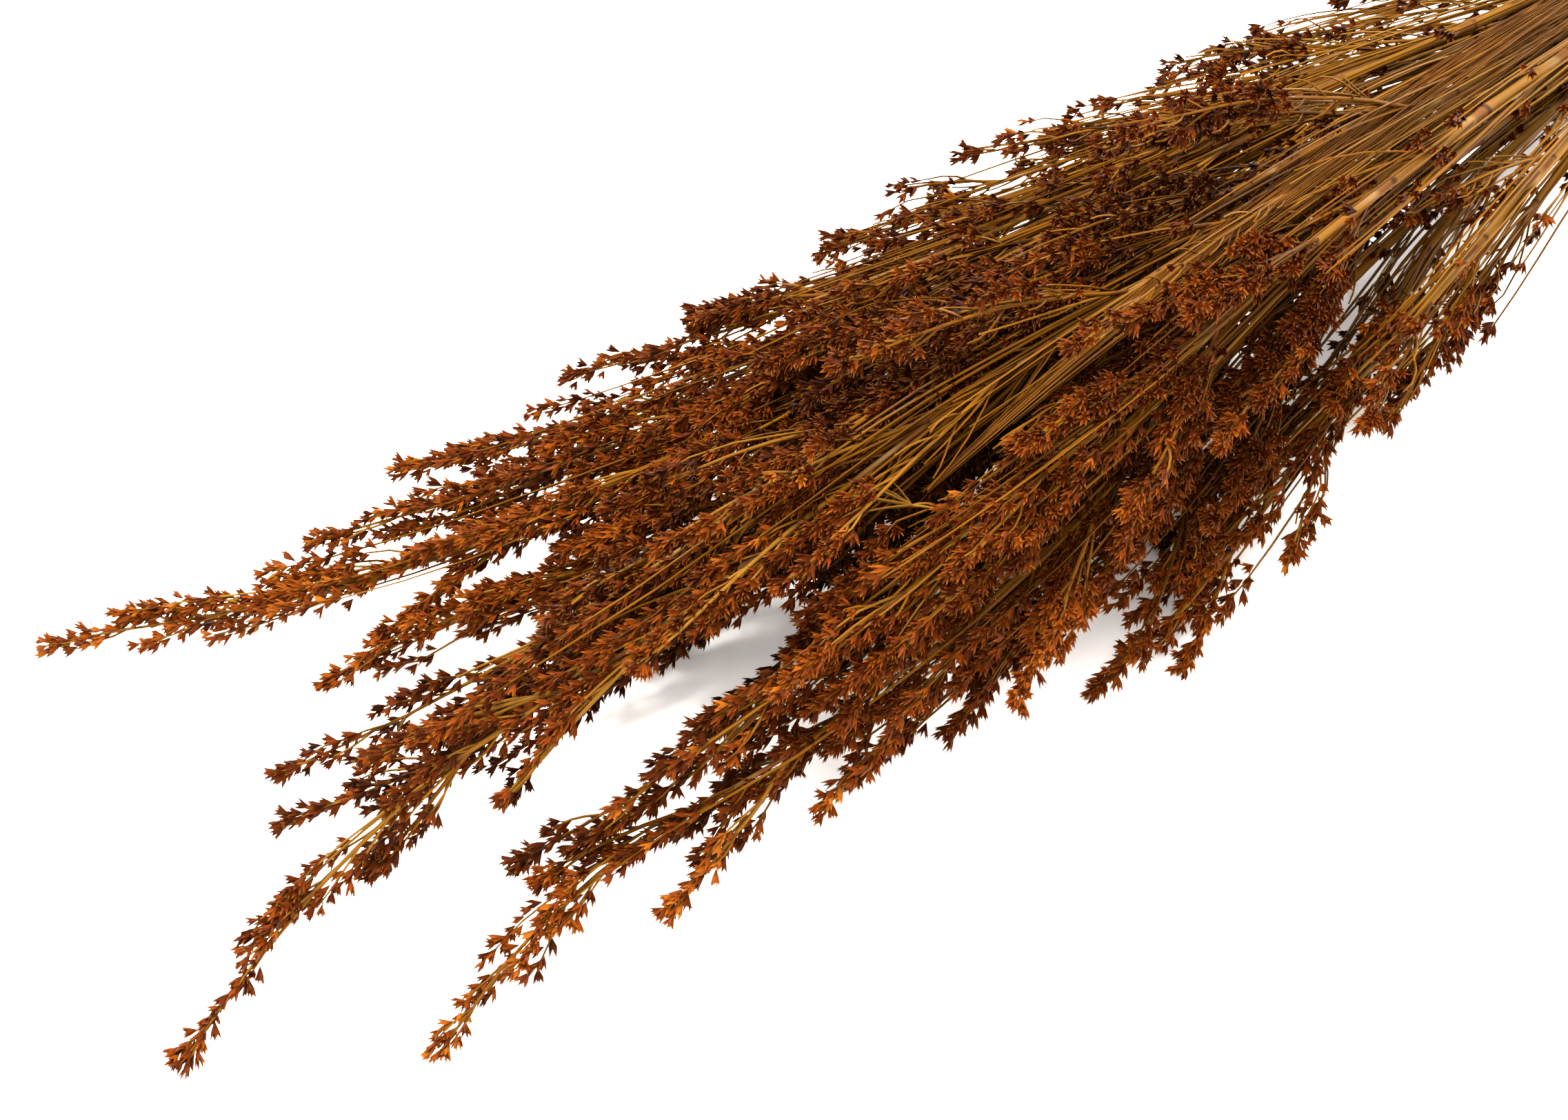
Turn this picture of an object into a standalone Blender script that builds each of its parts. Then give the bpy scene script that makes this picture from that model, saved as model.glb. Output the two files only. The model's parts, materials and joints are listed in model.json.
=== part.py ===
"""A cut bunch of preserved reed grass that lies on a flat surface, tied near its cut ends.

Every stem is one grown piece: a jointed culm that ends in its flower head, thin branches that leave it
one by one along that head, and pointed spikelets all round the branches. The culms are packed side by side
where the tie holds them and fan out towards the tips. Lengths below are in millimetres, with X along the
bunch from the tie to the tips, Y across it and Z up from the surface.
"""

import math
import random
from dataclasses import dataclass

import bmesh
import bpy
import numpy as np
from mathutils import Matrix, Vector

MM = 0.001
SEED = 41

# Culms, thickest at the cut end
CULM_RADIUS = 2.0
NECK_RADIUS = 1.25
TIP_RADIUS = 0.55
CULM_SIDES = 5
JOINT_SPACING = 50.0
JOINT_SWELL = 1.3
JOINT_STEP = 2.4
HEAD_JOINT_SHARE = 0.7
FIRST_JOINT = (42.0, 66.0)
LAST_JOINT_BACK = 10.0
CULM_END_SHARE = 0.9
CULM_POINT = 3.0
CUT_END_X = -56.0
CUT_END_SPREAD = 12.0

# The packed bundle at the tie
CULM_GAP = 0.4
ROW_SIZES = (5, 6, 5, 4)
PACK_STEP = 2.0 * CULM_RADIUS + CULM_GAP
ROW_STEP = PACK_STEP * 0.875
STRAIGHT_REACH = 20.0
TIE_REACH = 10.0

# Behind the tie the culms flare again
FLARE = 0.32
FLARE_LIMIT = 1.3

# The tie
TIE_GAP = 0.3
TIE_WIDTH = 9.0
TIE_THICKNESS = 1.3
TIE_TURNS = 28
KNOT_SIZE = (7.0, 6.0, 3.4)
KNOT_RISE = 0.4
KNOT_TURNS = 9
KNOT_TIERS = 6
TAIL_ROOT = 1.0
TAIL_LENGTH = 21.0
TAIL_WIDTH = 2.6
TAIL_THICKNESS = 0.9
TAIL_SPANS = 5
TAIL_SWEEP = 3.0
TAIL_BASE = 0.6
TAIL_RISE = 5.5
TAIL_BEND = 1.9
TAIL_TAPER = 0.45

# Fanned culms are eased apart on slices across the bunch
SLICE_STEP = 6.0
EASE_ROUNDS = 260
SMOOTHED_SHARE = 0.8
EASE_MARGIN = 1.04
EASE_GAP = 0.9
FLOOR_GAP = 0.6

# Branches, each a slim core with its spikelets standing out of it in threes. A crowding under one sets the
# branches closer together towards the tip. A length is a fixed part and a share of the head's length.
AXIS_SHARE = 0.17
AXIS_OVERLAP = 7.0
LAST_BRANCH_BACK = 14.0
CROWDING = 0.85
LOWEST_LENGTH = (24.0, 0.24)
HIGHEST_LENGTH = (20.0, 0.035)
LENGTH_SPREAD = (0.88, 1.08)
BRANCH_ANGLE = (11.0, 21.0)
LEAN_AT_ROOT = 1.25
LEAN_LOSS = 0.75
BRANCH_DROOP = 0.10
BRANCH_FLOOR = 1.35
GOLDEN_ANGLE = 137.5
TURN_SPREAD = 25.0
BARE_SHARE = 0.2
BARE_LEAST = 11.0
ROOT_RADIUS = 0.46
BARE_END_RADIUS = 0.55
CORE_RADIUS = 0.85
END_RADIUS = 0.4
END_LENGTH = 4.5
NODE_GAP = 0.42
TRIES = 9
RETRY_TURN = 80.0
RETRY_LOSS = 0.05

# Spikelets
SPIKELET_STEP = 14.0
SPIKELET_ROOT = 0.35
SPIKELET_REACH = 4.0
REACH_LOSS = 0.4
REACH_SHARES = (1.0, 0.72, 0.5)
SPIKELET_RADIUS = 0.45
SPIKELET_LEAD = 1.0
SPIKELET_TURN = 26.0


@dataclass(frozen=True)
class Stem:
    """One stem: its place in the bundle, points its culm runs through, its head's length and branches."""

    name: str
    row: int
    place: int
    course: tuple
    head: float
    branches: int

    @property
    def tip(self):
        """Where the culm's line ends."""
        return self.course[-1]


STEMS = (
    Stem("stem_top_short", 1, 0, ((165, -38, 20), (191, -51, 16), (214, -62, 12)), 90, 4),
    Stem("stem_top_long", 2, 0, ((188, -22, 26), (228, -44, 22), (259, -62, 18), (275, -75, 14)), 140, 5),
    Stem("stem_upper_short", 0, 0,
         ((190, -30, 20), (247, -50, 16), (291, -67, 12), (317, -76, 9)), 180, 6),
    Stem("stem_upper_mid", 1, 1, ((209, -27, 22), (257, -41, 18), (313, -57, 14), (356, -74, 8)), 190, 8),
    Stem("stem_upper_long", 3, 0,
         ((245, -12, 40), (299, -27, 34), (346, -48, 24), (372, -66, 16), (396, -85, 8)), 220, 9),
    Stem("stem_left_upper", 0, 1,
         ((243, -31, 20), (327, -44, 18), (383, -54, 14), (420, -71, 10), (444, -87, 7)), 250, 11),
    Stem("stem_left_mid", 2, 1,
         ((269, -12, 38), (348, -25, 34), (400, -36, 26), (439, -59, 16), (472, -81, 8)), 270, 12),
    Stem("stem_left_long", 1, 2,
         ((276, -16, 28), (370, -24, 26), (434, -39, 20), (477, -58, 14), (500, -76, 9), (528, -99, 4)),
         320, 14),
    Stem("stem_left_low", 0, 2,
         ((282, -10, 22), (382, -12, 20), (433, -23, 16), (468, -39, 10), (495, -48, 5)), 260, 11),
    Stem("stem_crest_left", 3, 1,
         ((307, 17, 56), (399, 13, 56), (460, 8, 44), (490, -9, 26), (520, -30, 9)), 290, 12),
    Stem("stem_crest_mid", 2, 2,
         ((303, 15, 46), (399, 14, 46), (463, 12, 36), (502, -2, 20), (527, -21, 7)), 280, 12),
    Stem("stem_crest_long", 3, 2,
         ((312, 30, 62), (407, 30, 62), (466, 24, 48), (504, 7, 28), (535, 3, 13), (573, 11, 3)), 350, 15),
    Stem("stem_heart", 1, 3,
         ((299, 13, 32), (387, 12, 30), (437, 3, 20), (463, -1, 10), (489, 5, 5)), 230, 9),
    Stem("stem_right_crest", 2, 3,
         ((309, 38, 52), (398, 49, 52), (452, 47, 42), (484, 34, 24), (503, 20, 8)), 280, 12),
    Stem("stem_right_high", 3, 3, ((309, 46, 60), (383, 54, 60), (426, 48, 50), (459, 24, 20)), 220, 9),
    Stem("stem_right_long", 1, 4,
         ((309, 39, 38), (402, 54, 36), (454, 49, 26), (488, 37, 14), (512, 36, 8), (539, 42, 3)), 320, 14),
    Stem("stem_right_low", 0, 3, ((292, 38, 24), (369, 54, 20), (408, 51, 14), (439, 47, 5)), 200, 8),
    Stem("stem_right_sprig", 0, 4,
         ((228, 34, 22), (277, 48, 18), (325, 61, 14), (359, 65, 8), (385, 65, 3)), 200, 7),
    Stem("stem_right_string", 2, 4, ((236, 51, 34), (280, 56, 26), (312, 54, 16), (347, 54, 5)), 150, 5),
    Stem("stem_right_short", 1, 5, ((201, 43, 22), (239, 51, 16), (272, 55, 6)), 100, 4),
)


def material(name, colour, roughness):
    """A plain Principled material."""
    made = bpy.data.materials.new(name)
    made.use_nodes = True
    shader = made.node_tree.nodes["Principled BSDF"]
    shader.inputs["Base Color"].default_value = (*colour, 1.0)
    shader.inputs["Roughness"].default_value = roughness
    shader.inputs["Metallic"].default_value = 0.0
    return made


def mesh_object(name, points, faces, finish):
    """An object made from points in millimetres and faces, with its normals turned outwards."""
    shell = bmesh.new()
    corners = [shell.verts.new(Vector(point) * MM) for point in points]
    for face in faces:
        shell.faces.new([corners[index] for index in face])
    bmesh.ops.recalc_face_normals(shell, faces=shell.faces)
    mesh = bpy.data.meshes.new(name)
    shell.to_mesh(mesh)
    shell.free()
    mesh.materials.append(finish)
    made = bpy.data.objects.new(name, mesh)
    bpy.context.scene.collection.objects.link(made)
    return made


def unit(vector):
    """The vector at length one."""
    return vector / np.linalg.norm(vector)


def side_axes(along):
    """Two directions square to a line and to each other, the first one level."""
    level = unit(np.cross(np.array((0.0, 0.0, 1.0)), along))
    return level, np.cross(along, level)


def bundle_slot(row, place):
    """Where a culm's centre lies across the tie, as (y, z)."""
    across = (place - (ROW_SIZES[row] - 1) / 2.0) * PACK_STEP
    lowest = TIE_THICKNESS + TIE_GAP + CULM_RADIUS
    return across, lowest + row * ROW_STEP


def smooth_through(knots, values, places):
    """A smooth curve through values at knots, level before the first one and held after the last."""
    slopes = np.gradient(values, knots)
    slopes[0] = 0.0
    places = np.clip(places, knots[0], knots[-1])
    span = np.clip(np.searchsorted(knots, places) - 1, 0, len(knots) - 2)
    width = knots[span + 1] - knots[span]
    share = (places - knots[span]) / width
    rise = share * share * (3.0 - 2.0 * share)
    before = slopes[span] * width * share * (1.0 - share) ** 2
    after = slopes[span + 1] * width * share * share * (share - 1.0)
    return values[span] * (1.0 - rise) + values[span + 1] * rise + before + after


def drawn_line(stem, slices):
    """A stem's own smooth line, as (y, z) on each slice."""
    across, height = bundle_slot(stem.row, stem.place)
    knots, sides, heights = np.array(((STRAIGHT_REACH, across, height), *stem.course), float).T
    behind = 1.0 + FLARE * np.clip(slices / CUT_END_X, 0.0, FLARE_LIMIT) ** 2
    lowest = bundle_slot(0, 0)[1]
    side = smooth_through(knots, sides, slices) * behind
    rise = (smooth_through(knots, heights, slices) - lowest) * behind
    return np.stack((side, rise + lowest), axis=1)


def stem_radius(stem, x):
    """The culm's radius at x: even up to the head, then thinning to its tip."""
    neck = stem.tip[0] - stem.head
    return float(np.interp(x, (0.0, neck, stem.tip[0]), (CULM_RADIUS, NECK_RADIUS, TIP_RADIUS)))


def eased_lines():
    """Every stem's line on shared slices, pushed clear of the others and of the surface."""
    furthest = max(stem.tip[0] for stem in STEMS)
    slices = np.arange(CUT_END_X - CUT_END_SPREAD - SLICE_STEP, furthest + SLICE_STEP, SLICE_STEP)
    drawn = np.stack([drawn_line(stem, slices) for stem in STEMS])
    radii = np.array([[stem_radius(stem, x) for x in slices] for stem in STEMS])
    alive = np.array([slices <= stem.tip[0] + SLICE_STEP for stem in STEMS])
    loose = (slices > TIE_REACH)[None, :, None]
    needed = (radii[:, None] + radii[None, :]) * JOINT_SWELL * EASE_MARGIN + EASE_GAP
    both = alive[:, None] & alive[None, :] & ~np.eye(len(STEMS), dtype=bool)[:, :, None]
    shift = np.zeros_like(drawn)
    for turn in range(EASE_ROUNDS):
        placed = drawn + shift
        apart = placed[:, None] - placed[None, :]
        distance = np.maximum(np.linalg.norm(apart, axis=3), 1e-6)
        short = np.where(both, np.maximum(needed - distance, 0.0), 0.0)
        push = (apart / distance[..., None] * short[..., None] * 0.5).sum(axis=1)
        shift = shift + push * loose
        floor = radii * JOINT_SWELL + FLOOR_GAP
        low = np.maximum(floor - (drawn + shift)[:, :, 1], 0.0)
        shift[:, :, 1] += low * loose[:, :, 0]
        if turn < EASE_ROUNDS * SMOOTHED_SHARE:
            ends = np.pad(shift, ((0, 0), (1, 1), (0, 0)), mode="edge")
            smooth = 0.25 * ends[:, :-2] + 0.5 * shift + 0.25 * ends[:, 2:]
            shift = np.where(loose, smooth, shift)
    return slices, drawn + shift


class StemLine:
    """Places and directions along one eased stem."""

    def __init__(self, slices, line):
        self.slices = slices
        self.line = line

    def at(self, x):
        """The centre at x."""
        side = np.interp(x, self.slices, self.line[:, 0])
        height = np.interp(x, self.slices, self.line[:, 1])
        return np.array((x, side, height))

    def heading(self, x):
        """The direction towards the tip at x."""
        return unit(self.at(x + SLICE_STEP) - self.at(x - SLICE_STEP))


@dataclass
class Spray:
    """One branch: its ring centres and core radii from the root, and where its spikelets' tips are."""

    stem: int
    points: np.ndarray
    radii: list
    bare_spans: int
    turn: float
    tips: list


class Clearance:
    """Round-ended rods already taken, each with the number of the culm or branch that owns it."""

    def __init__(self):
        self.rods = np.zeros((0, 8))

    def add(self, owner, start, end, radius):
        """Takes one rod."""
        self.rods = np.vstack((self.rods, (*start, *end, radius, owner)))

    def add_line(self, owner, points, radii):
        """Takes a chain of rods."""
        chain = zip(points[:-1], points[1:], radii[:-1], radii[1:])
        rows = [(*a, *b, max(first, second), owner) for a, b, first, second in chain]
        self.rods = np.vstack((self.rods, rows))

    def free(self, excluded, start, end, radius):
        """True if a rod clears the surface and all rods but the excluded owner's."""
        if min(start[2], end[2]) < radius:
            return False
        others = self.rods[self.rods[:, 7] != excluded]
        gaps = rod_distances(start, end, others[:, 0:3], others[:, 3:6]) - others[:, 6] - radius
        return bool(gaps.min(initial=1e9) > NODE_GAP)


def rod_distances(start, end, starts, ends):
    """Shortest distances from one segment to many others."""
    own = end - start
    runs = ends - starts
    offset = start - starts
    own_square = max(float(own @ own), 1e-9)
    run_square = np.maximum((runs * runs).sum(1), 1e-9)
    cross = runs @ own
    own_offset = offset @ own
    run_offset = (runs * offset).sum(1)
    spread = np.maximum(own_square * run_square - cross**2, 1e-9)
    share = np.clip((cross * run_offset - own_offset * run_square) / spread, 0.0, 1.0)
    reach = np.clip((cross * share + run_offset) / run_square, 0.0, 1.0)
    share = np.clip((cross * reach - own_offset) / own_square, 0.0, 1.0)
    return np.linalg.norm(offset + share[:, None] * own - reach[:, None] * runs, axis=1)


def ring_places(length):
    """How far along a branch its rings lie, and how many of its spans are bare."""
    bare = max(BARE_LEAST, BARE_SHARE * length)
    bare_spans = 1 + int(bare > 2.0 * BARE_LEAST)
    tiers = max(2, round((length - bare) / SPIKELET_STEP))
    places = [bare * span / bare_spans for span in range(bare_spans)]
    places.extend(bare + (length - bare) * tier / tiers for tier in range(tiers + 1))
    return places, bare_spans


def branch_points(base, along, outward, angle, places):
    """A thin branch that leaves the culm at an angle and bends back towards the stem's heading."""
    points = [base]
    for before, after in zip(places[:-1], places[1:]):
        share = (before + after) / 2.0 / places[-1]
        lean = math.tan(math.radians(angle)) * (LEAN_AT_ROOT - LEAN_LOSS * share)
        heading = unit(along + outward * lean - np.array((0.0, 0.0, BRANCH_DROOP * share)))
        grown = points[-1] + heading * (after - before)
        grown[2] = max(grown[2], BRANCH_FLOOR)
        points.append(grown)
    return np.array(points)


def core_radii(count, bare_spans):
    """Core radii from the root, thickest where the spikelets begin."""
    places = (0, bare_spans, bare_spans + 1, count - 1)
    radii = (ROOT_RADIUS, BARE_END_RADIUS, CORE_RADIUS, END_RADIUS)
    return list(np.interp(range(count), places, radii))


def line_is_free(excluded, points, radii, taken):
    """True if a chain of rods and the point beyond it are clear."""
    beyond = points[-1] + unit(points[-1] - points[-2]) * END_LENGTH
    chain = zip([*points[:-1], points[-1]], [*points[1:], beyond], [*radii[:-1], radii[-1]])
    return all(taken.free(excluded, start, end, radius) for start, end, radius in chain)


def culm_end(stem):
    """Where the culm hands over to the branch that carries its tip."""
    return stem.tip[0] - stem.head * AXIS_SHARE


def culm_stations(stem, draw):
    """Where a culm has its rings, each with its swell."""
    cut_x = CUT_END_X + draw.uniform(-CUT_END_SPREAD, CUT_END_SPREAD)
    stations = [(cut_x, 1.0), (-TIE_REACH, 1.0), (TIE_REACH, 1.0)]
    x = draw.uniform(*FIRST_JOINT)
    while x < culm_end(stem) - LAST_JOINT_BACK:
        stations.append((x, JOINT_SWELL))
        stations.append((x + JOINT_STEP, 1.0))
        x += JOINT_SPACING * (HEAD_JOINT_SHARE if x > stem.tip[0] - stem.head else 1.0)
    stations.append((culm_end(stem), CULM_END_SHARE))
    return stations


def culm_line(smooth, stations):
    """A stem's line as the culm's straight spans follow it, and its own curve from there to the tip."""
    ends = [x for x, swell in stations]
    places = np.concatenate((ends, smooth.slices[smooth.slices > ends[-1]]))
    return StemLine(places, np.array([smooth.at(x)[1:] for x in places]))


def axis_spray(owner, stem, line):
    """The branch that carries on the culm's own line to the tip."""
    root = culm_end(stem) - AXIS_OVERLAP
    end = stem.tip[0] - END_LENGTH * line.heading(stem.tip[0])[0]
    places, bare_spans = ring_places(end - root)
    points = np.array([line.at(root + place) for place in places])
    return Spray(owner, points, core_radii(len(points), bare_spans), bare_spans, 0.0, [])


def side_spray(owner, stem, line, number, taken, draw):
    """One branch off the culm, turned or shortened until it is clear, or None."""
    share = number / (stem.branches - 1)
    neck = stem.tip[0] - stem.head
    x = neck + (culm_end(stem) - LAST_BRANCH_BACK - neck) * share**CROWDING
    along = line.heading(x)
    level, upward = side_axes(along)
    lowest, highest = (fixed + part * stem.head for fixed, part in (LOWEST_LENGTH, HIGHEST_LENGTH))
    length = (lowest + (highest - lowest) * share) * draw.uniform(*LENGTH_SPREAD)
    turn = (number + 1) * GOLDEN_ANGLE + draw.uniform(-TURN_SPREAD, TURN_SPREAD)
    angle = draw.uniform(*BRANCH_ANGLE)
    for attempt in range(TRIES):
        around = math.radians(turn + attempt * RETRY_TURN)
        outward = level * math.cos(around) + upward * math.sin(around)
        places, bare_spans = ring_places(length * (1.0 - RETRY_LOSS * attempt))
        points = branch_points(line.at(x), along, outward, angle, places)
        radii = core_radii(len(points), bare_spans)
        if line_is_free(owner, points, radii, taken):
            return Spray(owner, points, radii, bare_spans, draw.uniform(0.0, math.tau), [])
    return None


def headings_of(points):
    """The direction of a branch at each of its rings."""
    spans = [unit(after - before) for before, after in zip(points[:-1], points[1:])]
    return [spans[0], *(unit(a + b) for a, b in zip(spans[:-1], spans[1:])), spans[-1]]


def grow_spikelets(spray, key, taken):
    """Sets the tip of every spikelet of a branch, drawn in where another piece is close."""
    headings = headings_of(spray.points)
    spans = range(spray.bare_spans, len(spray.points) - 1)
    for span in spans:
        share = (span - spray.bare_spans + 1) / len(spans)
        full = SPIKELET_REACH * (1.0 - REACH_LOSS * share * share)
        level, upward = side_axes(headings[span + 1])
        lead = headings[span + 1] * SPIKELET_LEAD
        centre = spray.points[span + 1] + lead
        root = spray.points[span] * (1.0 - SPIKELET_ROOT) + spray.points[span + 1] * SPIKELET_ROOT
        for side in range(3):
            angle = ring_turn(spray, span + 0.5) + math.tau * (side + 0.5) / 3.0
            outward = level * math.cos(angle) + upward * math.sin(angle)
            edges = (root + outward * CORE_RADIUS, spray.points[span + 1] + outward * spray.radii[span + 1])
            for reach in REACH_SHARES:
                tip = centre + outward * full * reach
                if all(taken.free(key, edge, tip, SPIKELET_RADIUS) for edge in edges):
                    taken.add_line(key, (edges[0], tip, edges[1]), [SPIKELET_RADIUS] * 3)
                    break
            else:
                tip = spray.points[span + 1] + outward * spray.radii[span + 1] - lead
            spray.tips.append(tip)


def ring_turn(spray, span):
    """How far a branch's ring is turned, so that the spikelets climb it in a slow spiral."""
    return spray.turn + math.radians(SPIKELET_TURN) * span


def ring(centre, along, radius, sides, turn=0.0):
    """Points of a polygon square to a line."""
    level, upward = side_axes(along)
    angles = [turn + math.tau * side / sides for side in range(sides)]
    return [centre + radius * (level * math.cos(a) + upward * math.sin(a)) for a in angles]


def tube_faces(rings, sides):
    """Side faces between rings of points, as triangles, with the first end closed."""
    faces = [tuple(reversed(range(sides)))]
    for number in range(rings - 1):
        for side in range(sides):
            a = number * sides + side
            b = number * sides + (side + 1) % sides
            faces.append((a, b, b + sides))
            faces.append((a, b + sides, a + sides))
    return faces


def spray_object(spray, finish):
    """A three-sided branch with a pointed spikelet raised from each face of its spans past the bare foot."""
    corners = []
    for number, heading in enumerate(headings_of(spray.points)):
        turn = ring_turn(spray, number)
        corners.extend(ring(spray.points[number], heading, spray.radii[number], 3, turn))
    faces = tube_faces(spray.bare_spans + 1, 3)
    first_tip = len(corners)
    corners.extend(spray.tips)
    for number in range(len(spray.tips)):
        span, side = divmod(number, 3)
        low = (spray.bare_spans + span) * 3
        a = low + side
        b = low + (side + 1) % 3
        tip = first_tip + number
        faces.extend([(a, b, tip), (b, b + 3, tip), (b + 3, a + 3, tip), (a + 3, a, tip)])
    last = len(spray.points) * 3 - 3
    end = len(corners)
    corners.append(spray.points[-1] + unit(spray.points[-1] - spray.points[-2]) * END_LENGTH)
    faces.extend((last + side, last + (side + 1) % 3, end) for side in range(3))
    return mesh_object("branch", corners, faces, finish)


def culm_object(stem, line, stations, finish):
    """A culm with a swollen ring and a step at each joint, pointed where its last branch goes on."""
    corners = []
    for x, swell in stations:
        corners.extend(ring(line.at(x), line.heading(x), stem_radius(stem, x) * swell, CULM_SIDES))
    faces = tube_faces(len(stations), CULM_SIDES)
    last = len(corners) - CULM_SIDES
    tip = len(corners)
    corners.append(line.at(culm_end(stem) + CULM_POINT))
    faces.extend((last + side, last + (side + 1) % CULM_SIDES, tip) for side in range(CULM_SIDES))
    return mesh_object(stem.name, corners, faces, finish)


def fuse(base, repeats):
    """Joins repeats to what they grow from and removes their objects."""
    group = bpy.data.collections.new("repeats")
    bpy.context.scene.collection.children.link(group)
    for item in repeats:
        bpy.context.scene.collection.objects.unlink(item)
        group.objects.link(item)
    union = base.modifiers.new("union", "BOOLEAN")
    union.operation = "UNION"
    union.operand_type = "COLLECTION"
    union.collection = group
    union.solver = "EXACT"
    bpy.context.view_layer.update()
    joined = bpy.data.meshes.new_from_object(base.evaluated_get(bpy.context.evaluated_depsgraph_get()))
    base.modifiers.clear()
    plain = base.data
    base.data = joined
    joined.name = base.name
    bpy.data.meshes.remove(plain)
    for item in repeats:
        bpy.data.objects.remove(item)
    bpy.data.collections.remove(group)


def plan_heads(lines):
    """Every stem's branches, grown in turns so that all stems get room, then their spikelets."""
    taken = Clearance()
    draws = [random.Random(SEED + owner) for owner in range(len(STEMS))]
    for owner, stem in enumerate(STEMS):
        centres = np.array([lines[owner].at(x) for x in np.arange(CUT_END_X, culm_end(stem), SLICE_STEP)])
        radii = [stem_radius(stem, x) * JOINT_SWELL for x in centres[:, 0]]
        taken.add_line(owner, centres, radii)
    sprays = [axis_spray(owner, stem, lines[owner]) for owner, stem in enumerate(STEMS)]
    for key, spray in enumerate(sprays):
        taken.add_line(len(STEMS) + key, spray.points, spray.radii)
    for number in range(max(stem.branches for stem in STEMS)):
        for owner, stem in enumerate(STEMS):
            if number >= stem.branches:
                continue
            spray = side_spray(owner, stem, lines[owner], number, taken, draws[owner])
            if spray is not None:
                taken.add_line(len(STEMS) + len(sprays), spray.points, spray.radii)
                sprays.append(spray)
    for key, spray in enumerate(sprays):
        grow_spikelets(spray, len(STEMS) + key, taken)
    return sprays


def make_stems(finish):
    """All stems, each one fused node."""
    slices, eased = eased_lines()
    stations = [culm_stations(stem, random.Random(SEED * 100 + owner)) for owner, stem in enumerate(STEMS)]
    lines = [culm_line(StemLine(slices, line), rings) for line, rings in zip(eased, stations)]
    sprays = plan_heads(lines)
    made = []
    for owner, stem in enumerate(STEMS):
        culm = culm_object(stem, lines[owner], stations[owner], finish)
        fuse(culm, [spray_object(spray, finish) for spray in sprays if spray.stem == owner])
        made.append(culm)
    return made


def tie_outline(reach):
    """The bundle's outline at the tie, a given distance outside its culms."""
    centres = [bundle_slot(row, place) for row, size in enumerate(ROW_SIZES) for place in range(size)]
    outline = []
    for turn in range(TIE_TURNS):
        angle = math.tau * (turn + 0.5) / TIE_TURNS
        way = (math.cos(angle), math.sin(angle))
        y, z = max(centres, key=lambda centre: centre[0] * way[0] + centre[1] * way[1])
        outline.append((y + way[0] * reach, z + way[1] * reach))
    return outline


def tie_band(finish):
    """The band round the culms, with eased edges and flat below, where the bunch rests on it."""
    half = TIE_WIDTH / 2.0
    edge = TIE_THICKNESS * 0.5
    flat = half - edge
    rising = ((-half, 0.0), (-half, edge), (-flat, TIE_THICKNESS))
    profile = (*rising, *((-along, outward) for along, outward in reversed(rising)))
    corners = []
    for along, outward in profile:
        reach = CULM_RADIUS + TIE_GAP + outward
        corners.extend((along, y, z) for y, z in tie_outline(reach))
    faces = []
    for number in range(len(profile)):
        low = number * TIE_TURNS
        high = (number + 1) % len(profile) * TIE_TURNS
        for turn in range(TIE_TURNS):
            after = (turn + 1) % TIE_TURNS
            faces.append((low + turn, low + after, high + after, high + turn))
    return mesh_object("tie", corners, faces, finish)


def knot(height, finish):
    """A small flattened knot on top of the band."""
    shell = bmesh.new()
    bmesh.ops.create_uvsphere(shell, u_segments=KNOT_TURNS, v_segments=KNOT_TIERS, radius=0.5)
    size = Vector(KNOT_SIZE)
    for corner in shell.verts:
        corner.co = Vector((corner.co.x * size.x, corner.co.y * size.y, corner.co.z * size.z + height))
    points = [tuple(corner.co) for corner in shell.verts]
    shell.verts.index_update()
    faces = [tuple(corner.index for corner in face.verts) for face in shell.faces]
    shell.free()
    return mesh_object("knot", points, faces, finish)


def tail(way, height, finish):
    """A short springy end of the tie that rises from the knot, along or against the bunch."""
    corners = []
    for number in range(TAIL_SPANS + 1):
        share = number / TAIL_SPANS
        x = way * (TAIL_ROOT + TAIL_LENGTH * share)
        y = way * TAIL_SWEEP * share * share
        z = height + TAIL_RISE * math.sin(TAIL_BEND * share)
        wide = TAIL_WIDTH / 2.0 * (1.0 - TAIL_TAPER * share)
        thick = TAIL_THICKNESS / 2.0
        corners.extend([(x, y - wide, z - thick), (x, y + wide, z - thick)])
        corners.extend([(x, y + wide, z + thick), (x, y - wide, z + thick)])
    faces = tube_faces(TAIL_SPANS + 1, 4)
    last = len(corners) - 4
    faces.append((last, last + 1, last + 2, last + 3))
    return mesh_object("tail", corners, faces, finish)


def make_tie(finish):
    """The band with its knot and two ends."""
    top = bundle_slot(len(ROW_SIZES) - 1, 0)[1] + CULM_RADIUS + TIE_GAP + TIE_THICKNESS
    band = tie_band(finish)
    ends = [tail(way, top + TAIL_BASE, finish) for way in (1.0, -1.0)]
    fuse(band, [knot(top + KNOT_RISE, finish), *ends])
    return band


def stand_on_origin(nodes):
    """Hangs every node on one empty that brings the middle of the footprint to the origin."""
    corners = [node.matrix_world @ vertex.co for node in nodes for vertex in node.data.vertices]
    low = Vector([min(corner[axis] for corner in corners) for axis in range(3)])
    high = Vector([max(corner[axis] for corner in corners) for axis in range(3)])
    bunch = bpy.data.objects.new("bunch", None)
    bpy.context.scene.collection.objects.link(bunch)
    bunch.matrix_world = Matrix.Translation((-(low.x + high.x) / 2.0, -(low.y + high.y) / 2.0, -low.z))
    for node in nodes:
        node.parent = bunch


def clear_scene():
    """Removes whatever the scene holds."""
    for item in list(bpy.data.objects):
        bpy.data.objects.remove(item, do_unlink=True)


def main():
    """Builds the bunch."""
    clear_scene()
    reed = material("preserved_reed", (0.36, 0.15, 0.04), 0.55)
    raffia = material("raffia", (0.62, 0.47, 0.26), 0.8)
    nodes = make_stems(reed)
    nodes.append(make_tie(raffia))
    stand_on_origin(nodes)


main()
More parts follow.
